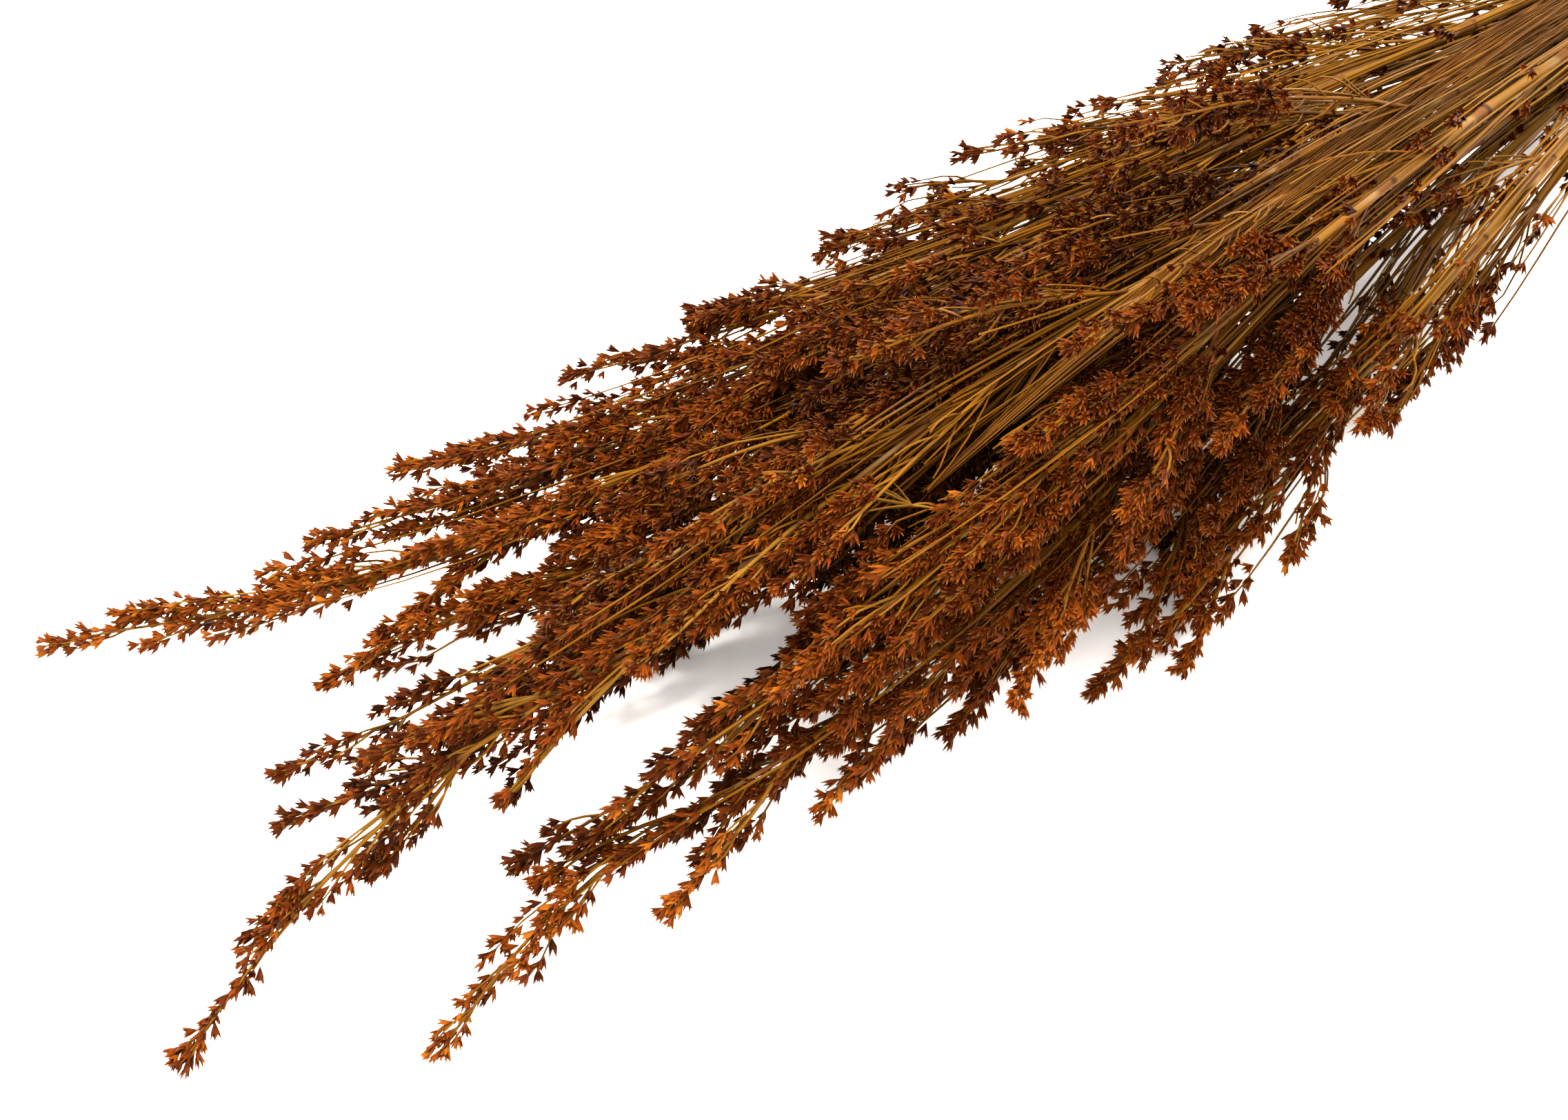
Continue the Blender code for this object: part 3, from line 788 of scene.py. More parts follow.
# Each stem's tone is partly its own colour; the stems in the middle of the bunch have low tones as painted
# shade for its deep gaps, and those on the open right flank high tones as painted light.
STEMS = (
    StemPlan("stem_top_short", 1, 0, 90, 4, 0.56, 520, ((165, -38, 20), (191, -51, 16), (214, -62, 12))),
    StemPlan("stem_top_long", 2, 0, 140, 5, 0.56, 520,
             ((188, -22, 26), (228, -44, 22), (259, -62, 18), (275, -75, 14))),
    StemPlan("stem_upper_short", 0, 0, 180, 6, 0.50, 470,
             ((190, -30, 20), (247, -50, 16), (291, -67, 12), (317, -76, 9))),
    StemPlan("stem_upper_mid", 1, 1, 190, 8, 0.46, 450,
             ((209, -27, 22), (257, -41, 18), (313, -57, 14), (356, -74, 8))),
    StemPlan("stem_upper_long", 3, 0, 220, 9, 0.44, 420,
             ((245, -12, 40), (299, -27, 34), (346, -48, 24), (372, -66, 16), (396, -85, 8))),
    StemPlan("stem_left_upper", 0, 1, 250, 11, 0.54, 410,
             ((243, -31, 20), (327, -44, 18), (383, -54, 14), (420, -71, 10), (444, -87, 7))),
    StemPlan("stem_left_mid", 2, 1, 270, 12, 0.52, 410,
             ((269, -12, 38), (348, -25, 34), (400, -36, 26), (439, -59, 16), (472, -81, 8))),
    StemPlan("stem_left_long", 1, 2, 320, 14, 0.56, 400,
             ((276, -16, 28), (370, -24, 26), (434, -39, 20), (477, -58, 14), (500, -76, 9), (528, -99, 4))),
    StemPlan("stem_left_low", 0, 2, 260, 11, 0.60, 390,
             ((282, -10, 22), (382, -12, 20), (433, -23, 16), (468, -39, 10), (495, -48, 5))),
    StemPlan("stem_crest_left", 3, 1, 290, 12, 0.28, 400,
             ((307, 17, 56), (399, 13, 56), (460, 8, 44), (490, -9, 26), (520, -30, 9))),
    StemPlan("stem_crest_mid", 2, 2, 280, 12, 0.28, 400,
             ((303, 15, 46), (399, 14, 46), (463, 12, 36), (502, -2, 20), (527, -21, 7))),
    StemPlan("stem_crest_long", 3, 2, 350, 15, 0.44, 400,
             ((312, 30, 62), (407, 30, 62), (466, 24, 48), (504, 7, 28), (535, 3, 13), (573, 11, 3))),
    StemPlan("stem_heart", 1, 3, 230, 9, 0.18, 200,
             ((299, 13, 32), (387, 12, 30), (437, 3, 20), (463, -1, 10), (489, 5, 5))),
    StemPlan("stem_right_crest", 2, 3, 280, 12, 0.56, 195,
             ((309, 38, 52), (398, 49, 52), (452, 47, 42), (484, 34, 24), (503, 20, 8))),
    StemPlan("stem_right_high", 3, 3, 220, 9, 0.54, 205,
             ((309, 46, 60), (383, 54, 60), (426, 48, 50), (459, 24, 20))),
    StemPlan("stem_right_long", 1, 4, 320, 14, 0.66, 340,
             ((309, 39, 38), (402, 54, 36), (454, 49, 26), (488, 37, 14), (512, 36, 8), (539, 42, 3))),
    StemPlan("stem_right_low", 0, 3, 200, 8, 0.68, 400,
             ((292, 38, 24), (369, 54, 20), (408, 51, 14), (439, 47, 5))),
    StemPlan("stem_right_sprig", 0, 4, 200, 7, 0.70, 350,
             ((228, 34, 22), (277, 48, 18), (325, 61, 14), (359, 65, 8), (385, 65, 3))),
    StemPlan("stem_right_string", 2, 4, 150, 5, 0.66, 340,
             ((236, 51, 34), (280, 56, 26), (312, 54, 16), (347, 54, 5))),
    StemPlan("stem_right_short", 1, 5, 100, 4, 0.66, 290, ((201, 43, 22), (239, 51, 16), (272, 55, 6))),
)


@dataclass
class Limb:
    """One main branch of a flower head: its stem's number, its line and how far up its spikelets begin."""

    stem: int
    line: np.ndarray
    bare: float


@dataclass(frozen=True)
class Bundle:
    """How the culms are packed side by side where the tie holds them."""

    culm_radius: float = 2.0
    culm_gap: float = 0.4
    row_sizes: tuple[int, ...] = (5, 6, 5, 4)
    row_share: float = 0.875
    tie_gap: float = 0.3
    tie_thickness: float = 1.3

    def slot(self, row: int, place: int) -> tuple[float, float]:
        """Where a culm's centre lies across the tie.

        Args:
            row: Its row, counted upwards.
            place: Its place in the row.

        Returns:
            Y and Z.
        """
        step = 2.0 * self.culm_radius + self.culm_gap
        lowest = self.tie_thickness + self.tie_gap + self.culm_radius
        return (place - (self.row_sizes[row] - 1) / 2.0) * step, lowest + row * step * self.row_share

    def top(self) -> float:
        """The height of the tie's upper side."""
        highest = self.slot(len(self.row_sizes) - 1, 0)[1]
        return highest + self.culm_radius + self.tie_gap + self.tie_thickness

    def outline(self, shares: np.ndarray, reach: np.ndarray | float) -> np.ndarray:
        """Places round the bundle.

        Args:
            shares: Shares of a turn round it.
            reach: Distances outside the culms' centres.

        Returns:
            Rows of Y and Z.
        """
        slots = [(row, place) for row, size in enumerate(self.row_sizes) for place in range(size)]
        centres = np.array([self.slot(row, place) for row, place in slots])
        ways = np.stack((np.cos(TAU * shares), np.sin(TAU * shares)), axis=1)
        softness = np.exp((ways @ centres.T) - (ways @ centres.T).max(axis=1, keepdims=True))
        corners = softness @ centres / softness.sum(axis=1, keepdims=True)
        return corners + ways * np.broadcast_to(reach, shares.shape)[:, None]


class Rods:
    """Round-ended rods already taken, one in a row: its two ends, its radius and the number of its owner."""

    radius_column = 6
    owner_column = 7

    def __init__(self, gap: float) -> None:
        """Starts empty, with the clearance that owners keep from each other."""
        self.gap = gap
        self.rows = np.zeros((0, self.owner_column + 1))

    def add_line(self, owner: int, points: np.ndarray, radii: list[float]) -> None:
        """Takes a chain of rods for the owner of a number, with a radius at each of its points."""
        chain = zip(points[:-1], points[1:], np.maximum(radii[:-1], radii[1:]))
        self.rows = np.vstack((self.rows, [(*start, *end, radius, owner) for start, end, radius in chain]))

    def free(self, excluded: int, start: np.ndarray, end: np.ndarray, radius: float) -> bool:
        """Whether a rod clears the surface and all rods but one owner's.

        Args:
            excluded: The owner whose rods don't count.
            start: One end of the rod.
            end: Its other end.
            radius: Its radius.

        Returns:
            True if it is free.
        """
        if min(start[2], end[2]) < radius:
            return False
        others = self.rows[self.rows[:, self.owner_column] != excluded]
        apart = self.distances(start, end, others[:, 0:3], others[:, 3:6])
        gaps = apart - others[:, self.radius_column] - radius
        return bool(gaps.min(initial=math.inf) > self.gap)

    @staticmethod
    def distances(start: np.ndarray, end: np.ndarray, starts: np.ndarray, ends: np.ndarray) -> np.ndarray:
        """Shortest distances from one segment to many others.

        Args:
            start: One end of the segment.
            end: Its other end.
            starts: Rows of the others' first ends.
            ends: Rows of their second ends.

        Returns:
            A distance for each of the others.
        """
        own = end - start
        runs = ends - starts
        offset = start - starts
        own_square = max(float(own @ own), 1e-9)
        run_square = np.maximum((runs * runs).sum(1), 1e-9)
        cross = runs @ own
        own_offset = offset @ own
        run_offset = (runs * offset).sum(1)
        spread = np.maximum(own_square * run_square - cross**2, 1e-9)
        share = np.clip((cross * run_offset - own_offset * run_square) / spread, 0.0, 1.0)
        reach = np.clip((cross * share + run_offset) / run_square, 0.0, 1.0)
        share = np.clip((cross * reach - own_offset) / own_square, 0.0, 1.0)
        return np.linalg.norm(offset + share[:, None] * own - reach[:, None] * runs, axis=1)


class CulmLine:
    """The line of one culm, as straight spans between its rings and a curve beyond the last of them."""

    def __init__(self, places: np.ndarray, sides: np.ndarray, step: float) -> None:
        """Takes the line.

        Args:
            places: X of its points, in order.
            sides: Rows of Y and Z.
            step: Half the length over which a direction is read.
        """
        self.places = places
        self.sides = sides
        self.step = step

    def at(self, x: np.ndarray | float) -> np.ndarray:
        """The centre of the culm.

        Args:
            x: One X or many.

        Returns:
            A place for each.
        """
        across = np.interp(x, self.places, self.sides[:, 0])
        height = np.interp(x, self.places, self.sides[:, 1])
        return np.stack((np.asarray(x, float) + 0.0 * across, across, height), axis=-1)

    def heading(self, x: float) -> np.ndarray:
        """The direction towards the tip at X."""
        return unit(self.at(x + self.step) - self.at(x - self.step))


@dataclass
class Layout:
    """Where every culm and main branch runs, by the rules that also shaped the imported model."""

    bundle: Bundle
    seed: int = 41
    neck_radius: float = 1.25
    tip_radius: float = 0.55
    swell: float = 1.3
    joint_spacing: float = 50.0
    joint_step: float = 2.4
    head_joint_share: float = 0.7
    first_joint: Span = (42.0, 66.0)
    last_joint_back: float = 10.0
    cut_end: float = -56.0
    cut_spread: float = 12.0
    straight: float = 20.0
    tie_reach: float = 10.0
    flare: float = 0.32
    flare_limit: float = 1.3
    slice_step: float = 6.0
    ease_rounds: int = 260
    smoothed_share: float = 0.8
    ease_margin: float = 1.04
    ease_gap: float = 0.9
    floor_gap: float = 0.6
    axis_share: float = 0.17
    axis_overlap: float = 7.0
    last_branch_back: float = 14.0
    crowding: float = 0.85
    lowest_length: Span = (24.0, 0.24)
    highest_length: Span = (20.0, 0.035)
    length_spread: Span = (0.88, 1.08)
    branch_angle: Span = (11.0, 21.0)
    lean: Span = (1.25, 0.75)
    droop: float = 0.1
    branch_floor: float = 1.35
    golden_angle: float = 137.5
    turn_spread: float = 25.0
    bare_share: float = 0.2
    bare_least: float = 11.0
    tier_step: float = 14.0
    core_radii: tuple[float, ...] = (0.46, 0.55, 0.85, 0.4)
    end_length: float = 4.5
    node_gap: float = 0.42
    tries: int = 9
    retry_turn: float = 80.0
    retry_loss: float = 0.05
    joints: list[list[float]] = field(init=False)
    cuts: list[float] = field(init=False)
    lines: list[CulmLine] = field(init=False)
    limbs: list[Limb] = field(init=False)

    def __post_init__(self) -> None:
        """Eases the culms apart, sets their joints and grows the main branches."""
        slices, eased = self.eased()
        self.joints, self.cuts, self.lines = [], [], []
        for owner, stem in enumerate(STEMS):
            cut, joints = self.jointed(owner)
            rings = [cut, -self.tie_reach, self.tie_reach]
            rings.extend(x for joint in joints for x in (joint, joint + self.joint_step))
            rings.append(self.culm_end(stem))
            places = np.concatenate((rings, slices[slices > rings[-1]]))
            sides = np.stack([np.interp(places, slices, eased[owner][:, axis]) for axis in (0, 1)], axis=1)
            self.cuts.append(cut)
            self.joints.append(joints)
            self.lines.append(CulmLine(places, sides, self.slice_step))
        self.grow()

    @staticmethod
    def smooth_through(knots: np.ndarray, values: np.ndarray, places: np.ndarray) -> np.ndarray:
        """A smooth curve through values at knots, level before the first one and held after the last.

        Args:
            knots: Where the values stand.
            values: The values.
            places: Where the curve is read.

        Returns:
            The curve's values.
        """
        slopes = np.gradient(values, knots)
        slopes[0] = 0.0
        places = np.clip(places, knots[0], knots[-1])
        span = np.clip(np.searchsorted(knots, places) - 1, 0, len(knots) - 2)
        width = knots[span + 1] - knots[span]
        share = (places - knots[span]) / width
        rise = share * share * (3.0 - 2.0 * share)
        before = slopes[span] * width * share * (1.0 - share) ** 2
        after = slopes[span + 1] * width * share * share * (share - 1.0)
        return values[span] * (1.0 - rise) + values[span + 1] * rise + before + after

    def drawn(self, stem: StemPlan, slices: np.ndarray) -> np.ndarray:
        """A stem's own smooth line.

        Args:
            stem: The stem.
            slices: X of the slices.

        Returns:
            Rows of Y and Z, one for each slice.
        """
        across, height = self.bundle.slot(stem.row, stem.place)
        knots, sides, heights = np.array(((self.straight, across, height), *stem.course), float).T
        behind = 1.0 + self.flare * np.clip(slices / self.cut_end, 0.0, self.flare_limit) ** 2
        lowest = self.bundle.slot(0, 0)[1]
        side = self.smooth_through(knots, sides, slices) * behind
        rise = (self.smooth_through(knots, heights, slices) - lowest) * behind
        return np.stack((side, rise + lowest), axis=1)

    def radius(self, stem: StemPlan, x: np.ndarray | float) -> np.ndarray | float:
        """A culm's radius at X: even up to the head, then thinning to its tip."""
        radii = (self.bundle.culm_radius, self.neck_radius, self.tip_radius)
        return np.interp(x, (0.0, stem.neck, stem.tip), radii)

    def eased(self) -> tuple[np.ndarray, np.ndarray]:
        """Pushes the culms clear of each other and of the surface, slice by slice.

        Returns:
            X of the slices, and every culm's Y and Z on them.
        """
        step = self.slice_step
        furthest = max(stem.tip for stem in STEMS)
        slices = np.arange(self.cut_end - self.cut_spread - step, furthest + step, step)
        drawn = np.stack([self.drawn(stem, slices) for stem in STEMS])
        radii = np.array([self.radius(stem, slices) for stem in STEMS])
        alive = np.array([slices <= stem.tip + step for stem in STEMS])
        loose = (slices > self.tie_reach)[None, :, None]
        needed = (radii[:, None] + radii[None, :]) * self.swell * self.ease_margin + self.ease_gap
        both = alive[:, None] & alive[None, :] & ~np.eye(len(STEMS), dtype=bool)[:, :, None]
        shift = np.zeros_like(drawn)
        for turn in range(self.ease_rounds):
            placed = drawn + shift
            apart = placed[:, None] - placed[None, :]
            distance = np.maximum(np.linalg.norm(apart, axis=3), 1e-6)
            short = np.where(both, np.maximum(needed - distance, 0.0), 0.0)
            shift = shift + (apart / distance[..., None] * short[..., None] * 0.5).sum(axis=1) * loose
            low = np.maximum(radii * self.swell + self.floor_gap - (drawn + shift)[:, :, 1], 0.0)
            shift[:, :, 1] += low * loose[:, :, 0]
            if turn < self.ease_rounds * self.smoothed_share:
                ends = np.pad(shift, ((0, 0), (1, 1), (0, 0)), mode="edge")
                shift = np.where(loose, 0.25 * ends[:, :-2] + 0.5 * shift + 0.25 * ends[:, 2:], shift)
        return slices, drawn + shift

    def culm_end(self, stem: StemPlan) -> float:
        """The X where a culm hands over to the branch that carries its tip."""
        return stem.tip - stem.head * self.axis_share

    def jointed(self, owner: int) -> tuple[float, list[float]]:
        """Where a culm is cut and where its joints lie.

        Args:
            owner: The stem's number.

        Returns:
            The X of the cut end, and the X of each joint.
        """
        stem = STEMS[owner]
        draw = random.Random(self.seed * 100 + owner)
        cut = self.cut_end + draw.uniform(-self.cut_spread, self.cut_spread)
        x = draw.uniform(*self.first_joint)
        joints = []
        while x < self.culm_end(stem) - self.last_joint_back:
            joints.append(x)
            x += self.joint_spacing * (self.head_joint_share if x > stem.neck else 1.0)
        return cut, joints

    def places(self, length: float) -> tuple[list[float], int]:
        """Where the rings of a branch lie.

        Args:
            length: Its length.

        Returns:
            How far along it each ring lies, and how many of its spans are bare.
        """
        bare = max(self.bare_least, self.bare_share * length)
        bare_spans = 1 + int(bare > 2.0 * self.bare_least)
        tiers = max(2, round((length - bare) / self.tier_step))
        places = [bare * span / bare_spans for span in range(bare_spans)]
        places.extend(bare + (length - bare) * tier / tiers for tier in range(tiers + 1))
        return places, bare_spans

    def core(self, count: int, bare_spans: int) -> list[float]:
        """The radii that a branch claims at its rings."""
        return list(np.interp(range(count), (0, bare_spans, bare_spans + 1, count - 1), self.core_radii))

    def branch(
        self, base: np.ndarray, along: np.ndarray, outward: np.ndarray, angle: float, places: list[float]
    ) -> np.ndarray:
        """A branch that leaves its culm at an angle and bends back towards the culm's heading.

        Args:
            base: Its root.
            along: The culm's direction there.
            outward: The side that it leaves on.
            angle: Its angle to the culm in degrees.
            places: How far along it its points lie.

        Returns:
            Its points.
        """
        points = [base]
        for before, after in zip(places[:-1], places[1:]):
            share = (before + after) / 2.0 / places[-1]
            lean = math.tan(math.radians(angle)) * (self.lean[0] - self.lean[1] * share)
            heading = unit(along + outward * lean - np.array((0.0, 0.0, self.droop * share)))
            grown = points[-1] + heading * (after - before)
            grown[2] = max(grown[2], self.branch_floor)
            points.append(grown)
        return np.array(points)

    def clear(self, owner: int, points: np.ndarray, radii: list[float], rods: Rods) -> bool:
        """Whether a branch and the point beyond it are free.

        Args:
            owner: The number of its stem.
            points: Its points.
            radii: The radius that it claims at each of them.
            rods: What is taken already.

        Returns:
            True if all of it is free.
        """
        beyond = points[-1] + unit(points[-1] - points[-2]) * self.end_length
        ends = [*points[1:], beyond]
        return all(rods.free(owner, start, end, radius) for start, end, radius in zip(points, ends, radii))

    def side_limb(self, owner: int, number: int, rods: Rods, draw: random.Random) -> Limb | None:
        """One branch off a culm, turned or shortened until it is free.

        Args:
            owner: The stem's number.
            number: The branch's number on the stem.
            rods: What is taken already.
            draw: The stem's random draws.

        Returns:
            The branch, or None where there is no room.
        """
        stem = STEMS[owner]
        line = self.lines[owner]
        share = number / (stem.branches - 1)
        x = stem.neck + (self.culm_end(stem) - self.last_branch_back - stem.neck) * share**self.crowding
        along = line.heading(x)
        level, upward = side_axes(along)
        sizes = (self.lowest_length, self.highest_length)
        lowest, highest = (fixed + part * stem.head for fixed, part in sizes)
        length = (lowest + (highest - lowest) * share) * draw.uniform(*self.length_spread)
        turn = (number + 1) * self.golden_angle + draw.uniform(-self.turn_spread, self.turn_spread)
        angle = draw.uniform(*self.branch_angle)
        for attempt in range(self.tries):
            around = math.radians(turn + attempt * self.retry_turn)
            outward = level * math.cos(around) + upward * math.sin(around)
            places, bare_spans = self.places(length * (1.0 - self.retry_loss * attempt))
            points = self.branch(line.at(x), along, outward, angle, places)
            radii = self.core(len(points), bare_spans)
            if self.clear(owner, points, radii, rods):
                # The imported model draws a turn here, so this draw keeps the two in step.
                draw.uniform(0.0, TAU)
                rods.add_line(len(STEMS) + len(self.limbs), points, radii)
                return Limb(owner, points, places[bare_spans])
        return None

    def grow(self) -> None:
        """Grows the branch that carries each tip, then the side branches in turns."""
        rods = Rods(self.node_gap)
        self.limbs = []
        for owner, stem in enumerate(STEMS):
            centres = self.lines[owner].at(np.arange(self.cut_end, self.culm_end(stem), self.slice_step))
            rods.add_line(owner, centres, list(self.radius(stem, centres[:, 0]) * self.swell))
        for owner, stem in enumerate(STEMS):
            line = self.lines[owner]
            root = self.culm_end(stem) - self.axis_overlap
            end = stem.tip - self.end_length * line.heading(stem.tip)[0]
            places, bare_spans = self.places(end - root)
            points = line.at(root + np.array(places))
            rods.add_line(len(STEMS) + owner, points, self.core(len(points), bare_spans))
            self.limbs.append(Limb(owner, points, places[bare_spans]))
        draws = [random.Random(self.seed + owner) for owner in range(len(STEMS))]
        for number in range(max(stem.branches for stem in STEMS)):
            for owner, stem in enumerate(STEMS):
                limb = self.side_limb(owner, number, rods, draws[owner]) if number < stem.branches else None
                if limb is not None:
                    self.limbs.append(limb)


@dataclass(frozen=True)
class SpikeletModel:
    """One spikelet: a small tuft of bracts, narrow at its foot, whose points stand round a ragged mouth."""

    form: Form
    points: int
    length: float
    flat: float
    seed: int
    notch: float = 0.62
    heart: float = 0.50
    ragged: float = 0.20
    rim: float = 0.9
    axis: float = 0.1
    aim: float = 0.99

    def upper(self, place: Vector) -> bool:
        """Whether a corner of the cone lies at its mouth."""
        return place.z > self.rim

    def model(self) -> Pattern:
        """Draws the mouth of a cone out into points, with notches between them.

        Returns:
            The spikelet as a pattern, in millimetres with its foot at the origin.
        """
        item = Modeller.cup(self.points)
        draw = random.Random(self.seed)
        mouth, throat = self.form.value
        bpy.ops.object.mode_set(mode="EDIT")
        Modeller.pick(item, lambda spot: self.upper(spot) and spot.xy.length < self.axis)
        bpy.ops.transform.translate(value=(0.0, 0.0, self.heart - 1.0))
        for number in range(2 * self.points):
            azimuth = TAU * number / (2 * self.points)
            way = Vector((math.sin(azimuth), math.cos(azimuth)))
            Modeller.pick(item, lambda spot: self.upper(spot) and spot.xy.normalized().dot(way) > self.aim)
            tip = number % 2 == 0
            wide = (mouth if tip else throat) * draw.uniform(1.0 - self.ragged, 1.0 + self.ragged)
            lower = 0.0 if tip else self.notch - 1.0
            bpy.ops.transform.resize(value=(wide, wide, 1.0), center_override=(0.0, 0.0, 1.0))
            bpy.ops.transform.translate(value=(0.0, 0.0, lower - draw.uniform(0.0, self.ragged)))
        bpy.ops.mesh.select_all(action="SELECT")
        size = (self.length, self.length * self.flat, self.length)
        bpy.ops.transform.resize(value=size, center_override=(0.0, 0.0, 0.0))
        bpy.ops.object.mode_set(mode="OBJECT")
        return Pattern.taken_from(item)


@dataclass
class Spikelets:
    """The places, directions, tones and sizes of many spikelets."""

    places: list[np.ndarray] = field(default_factory=list)
    directions: list[np.ndarray] = field(default_factory=list)
    tones: list[np.ndarray] = field(default_factory=list)
    sizes: list[np.ndarray] = field(default_factory=list)
    lift: float = 0.35
    low: float = 3.0
    rest: float = 0.9
    least: float = 0.12
    tone_spread: float = 0.06

    def add(self, places: np.ndarray, directions: np.ndarray, tones: np.ndarray, sizes: np.ndarray) -> None:
        """Adds a row of spikelets.

        Args:
            places: Where their feet are.
            directions: Where they point.
            tones: The values of their colour.
            sizes: Their sizes against the patterns.
        """
        self.places.append(places)
        self.directions.append(unit(directions))
        self.tones.append(tones)
        self.sizes.append(sizes)

    def gather(self, patterns: list[Pattern], draw: np.random.Generator) -> Gather:
        """Copies the patterns to all the places.

        Args:
            patterns: The forms to draw from.
            draw: The random draws.

        Returns:
            The copies in one mesh.
        """
        places = np.concatenate(self.places)
        directions = np.concatenate(self.directions)
        tones = np.concatenate(self.tones)
        sizes = np.concatenate(self.sizes)
        directions[:, 2] += np.where(places[:, 2] < self.low, self.lift, 0.0)
        directions = unit(directions)
        places[:, 2] = np.maximum(places[:, 2], self.rest)
        level, upward = side_axes(directions)
        roll = draw.uniform(0.0, TAU, len(places))[:, None]
        across = level * np.cos(roll) + upward * np.sin(roll)
        turned = np.stack((across, np.cross(directions, across), directions), axis=-1)
        chosen = draw.choice(len(patterns), len(places))
        gather = Gather()
        for number, pattern in enumerate(patterns):
            own = np.flatnonzero(chosen == number)
            if not len(own):
                continue
            size = sizes[own][:, None, None]
            points = np.einsum("mij,nj->mni", turned[own], pattern.points) * size + places[own][:, None, :]
            points = points.reshape(-1, 3)
            points[:, 2] = np.maximum(points[:, 2], self.least)
            count = len(pattern.points)
            triangles = pattern.triangles[None] + np.arange(len(own))[:, None, None] * count
            height = np.clip(pattern.points[:, 2] / pattern.points[:, 2].max(), 0.0, 1.0)
            tone = np.repeat(tones[own], count) + draw.normal(0.0, self.tone_spread, len(own) * count)
            gather.add(points, triangles.reshape(-1, 3), np.clip(tone, 0.0, 1.0), np.tile(height, len(own)))
        return gather


@dataclass
class Canopy:
    """The upper surface of all the plumes, which tells how deep a place lies under it, for the painted shade
    that dims twigs and spikelets deep in the bunch.
    """

    limbs: list[Limb]
    cell: float = 7.0
    reach: float = 4.0
    # Painted shade: the tone fades with depth under the canopy over fade millimetres, down to the least share.
    fade: float = 14.0
    least: float = 0.24
    open_at: Span = (210.0, 320.0)
    open_share: Span = (0.5, 0.0)
    # Flank places keep more tone: painted light on the open sides of the bunch.
    flank_at: Span = (42.0, 64.0)
    flank_share: Span = (0.0, 0.8)
    top: dict[tuple[int, int], float] = field(default_factory=dict)

    def __post_init__(self) -> None:
        """Notes the highest branch in and near each cell of a level grid."""
        offsets = (-self.reach, 0.0, self.reach)
        for path in (Path(limb.line) for limb in self.limbs):
            for x, y, z in path.at(np.arange(0.0, path.length, self.cell / 2.0)):
                columns = [int((x + offset) // self.cell) for offset in offsets]
                rows = [int((y + offset) // self.cell) for offset in offsets]
                for key in product(columns, rows):
                    self.top[key] = max(self.top.get(key, 0.0), z)

    def painted_shade(self, places: np.ndarray) -> np.ndarray:
        """The share of its tone that a place keeps under the painted shade: less deep inside, more near the
        tie, and more at the flanks as painted light on the open sides.

        Args:
            places: Places in rows.

        Returns:
            A share for each place.
        """
        keys = np.floor(places[:, :2] / self.cell).astype(int)
        tops = np.array([self.top.get((x, y), 0.0) for x, y in keys])
        depth = np.maximum(tops - places[:, 2], 0.0)
        # Painted shade that deepens under the canopy, eased near the tie and by painted light at the flanks.
        kept = self.least + (1.0 - self.least) * np.exp(-depth / self.fade)
        near_tie = np.interp(places[:, 0], self.open_at, self.open_share)
        flank = np.interp(np.abs(places[:, 1]), self.flank_at, self.flank_share)
        return kept + (1.0 - kept) * np.maximum(near_tie, flank)


@dataclass(frozen=True)
class Furrow:
    """An open trough along a line, clear of spikelets."""

    line: np.ndarray
    half_widths: np.ndarray
    below: float
    lean: float = 0.0
    step: float = 3.0

    @classmethod
    def along(
        cls, course: tuple[Place, ...], widths: tuple[float, ...], below: float, lean: float = 0.0
    ) -> "Furrow":
        """A trough along a smooth course.

        Args:
            course: Places that its middle passes.
            widths: Half its width, evenly spread over the course.
            below: How far under its line it reaches.
            lean: How far it shifts sideways, along X and along Y, for each millimetre up.

        Returns:
            The trough.
        """
        path = Path(np.array(course, float))
        marks = np.arange(0.0, path.length, cls.step)
        knots = np.linspace(0.0, path.length, len(widths))
        return cls(path.at(marks), np.interp(marks, knots, widths), below, lean)

    def outside(self, places: np.ndarray) -> np.ndarray:
        """Which places lie beside the trough or under it.

        Args:
            places: Places in rows.

        Returns:
            True for each place that is free for a spikelet.
        """
        level = places[:, :2] - self.lean * places[:, 2:]
        apart = np.linalg.norm(level[:, None] - self.line[None, :, :2], axis=2)
        nearest = apart.argmin(axis=1)
        beside = apart[np.arange(len(places)), nearest] > self.half_widths[nearest]
        return beside | (places[:, 2] < self.line[nearest, 2] - self.below)


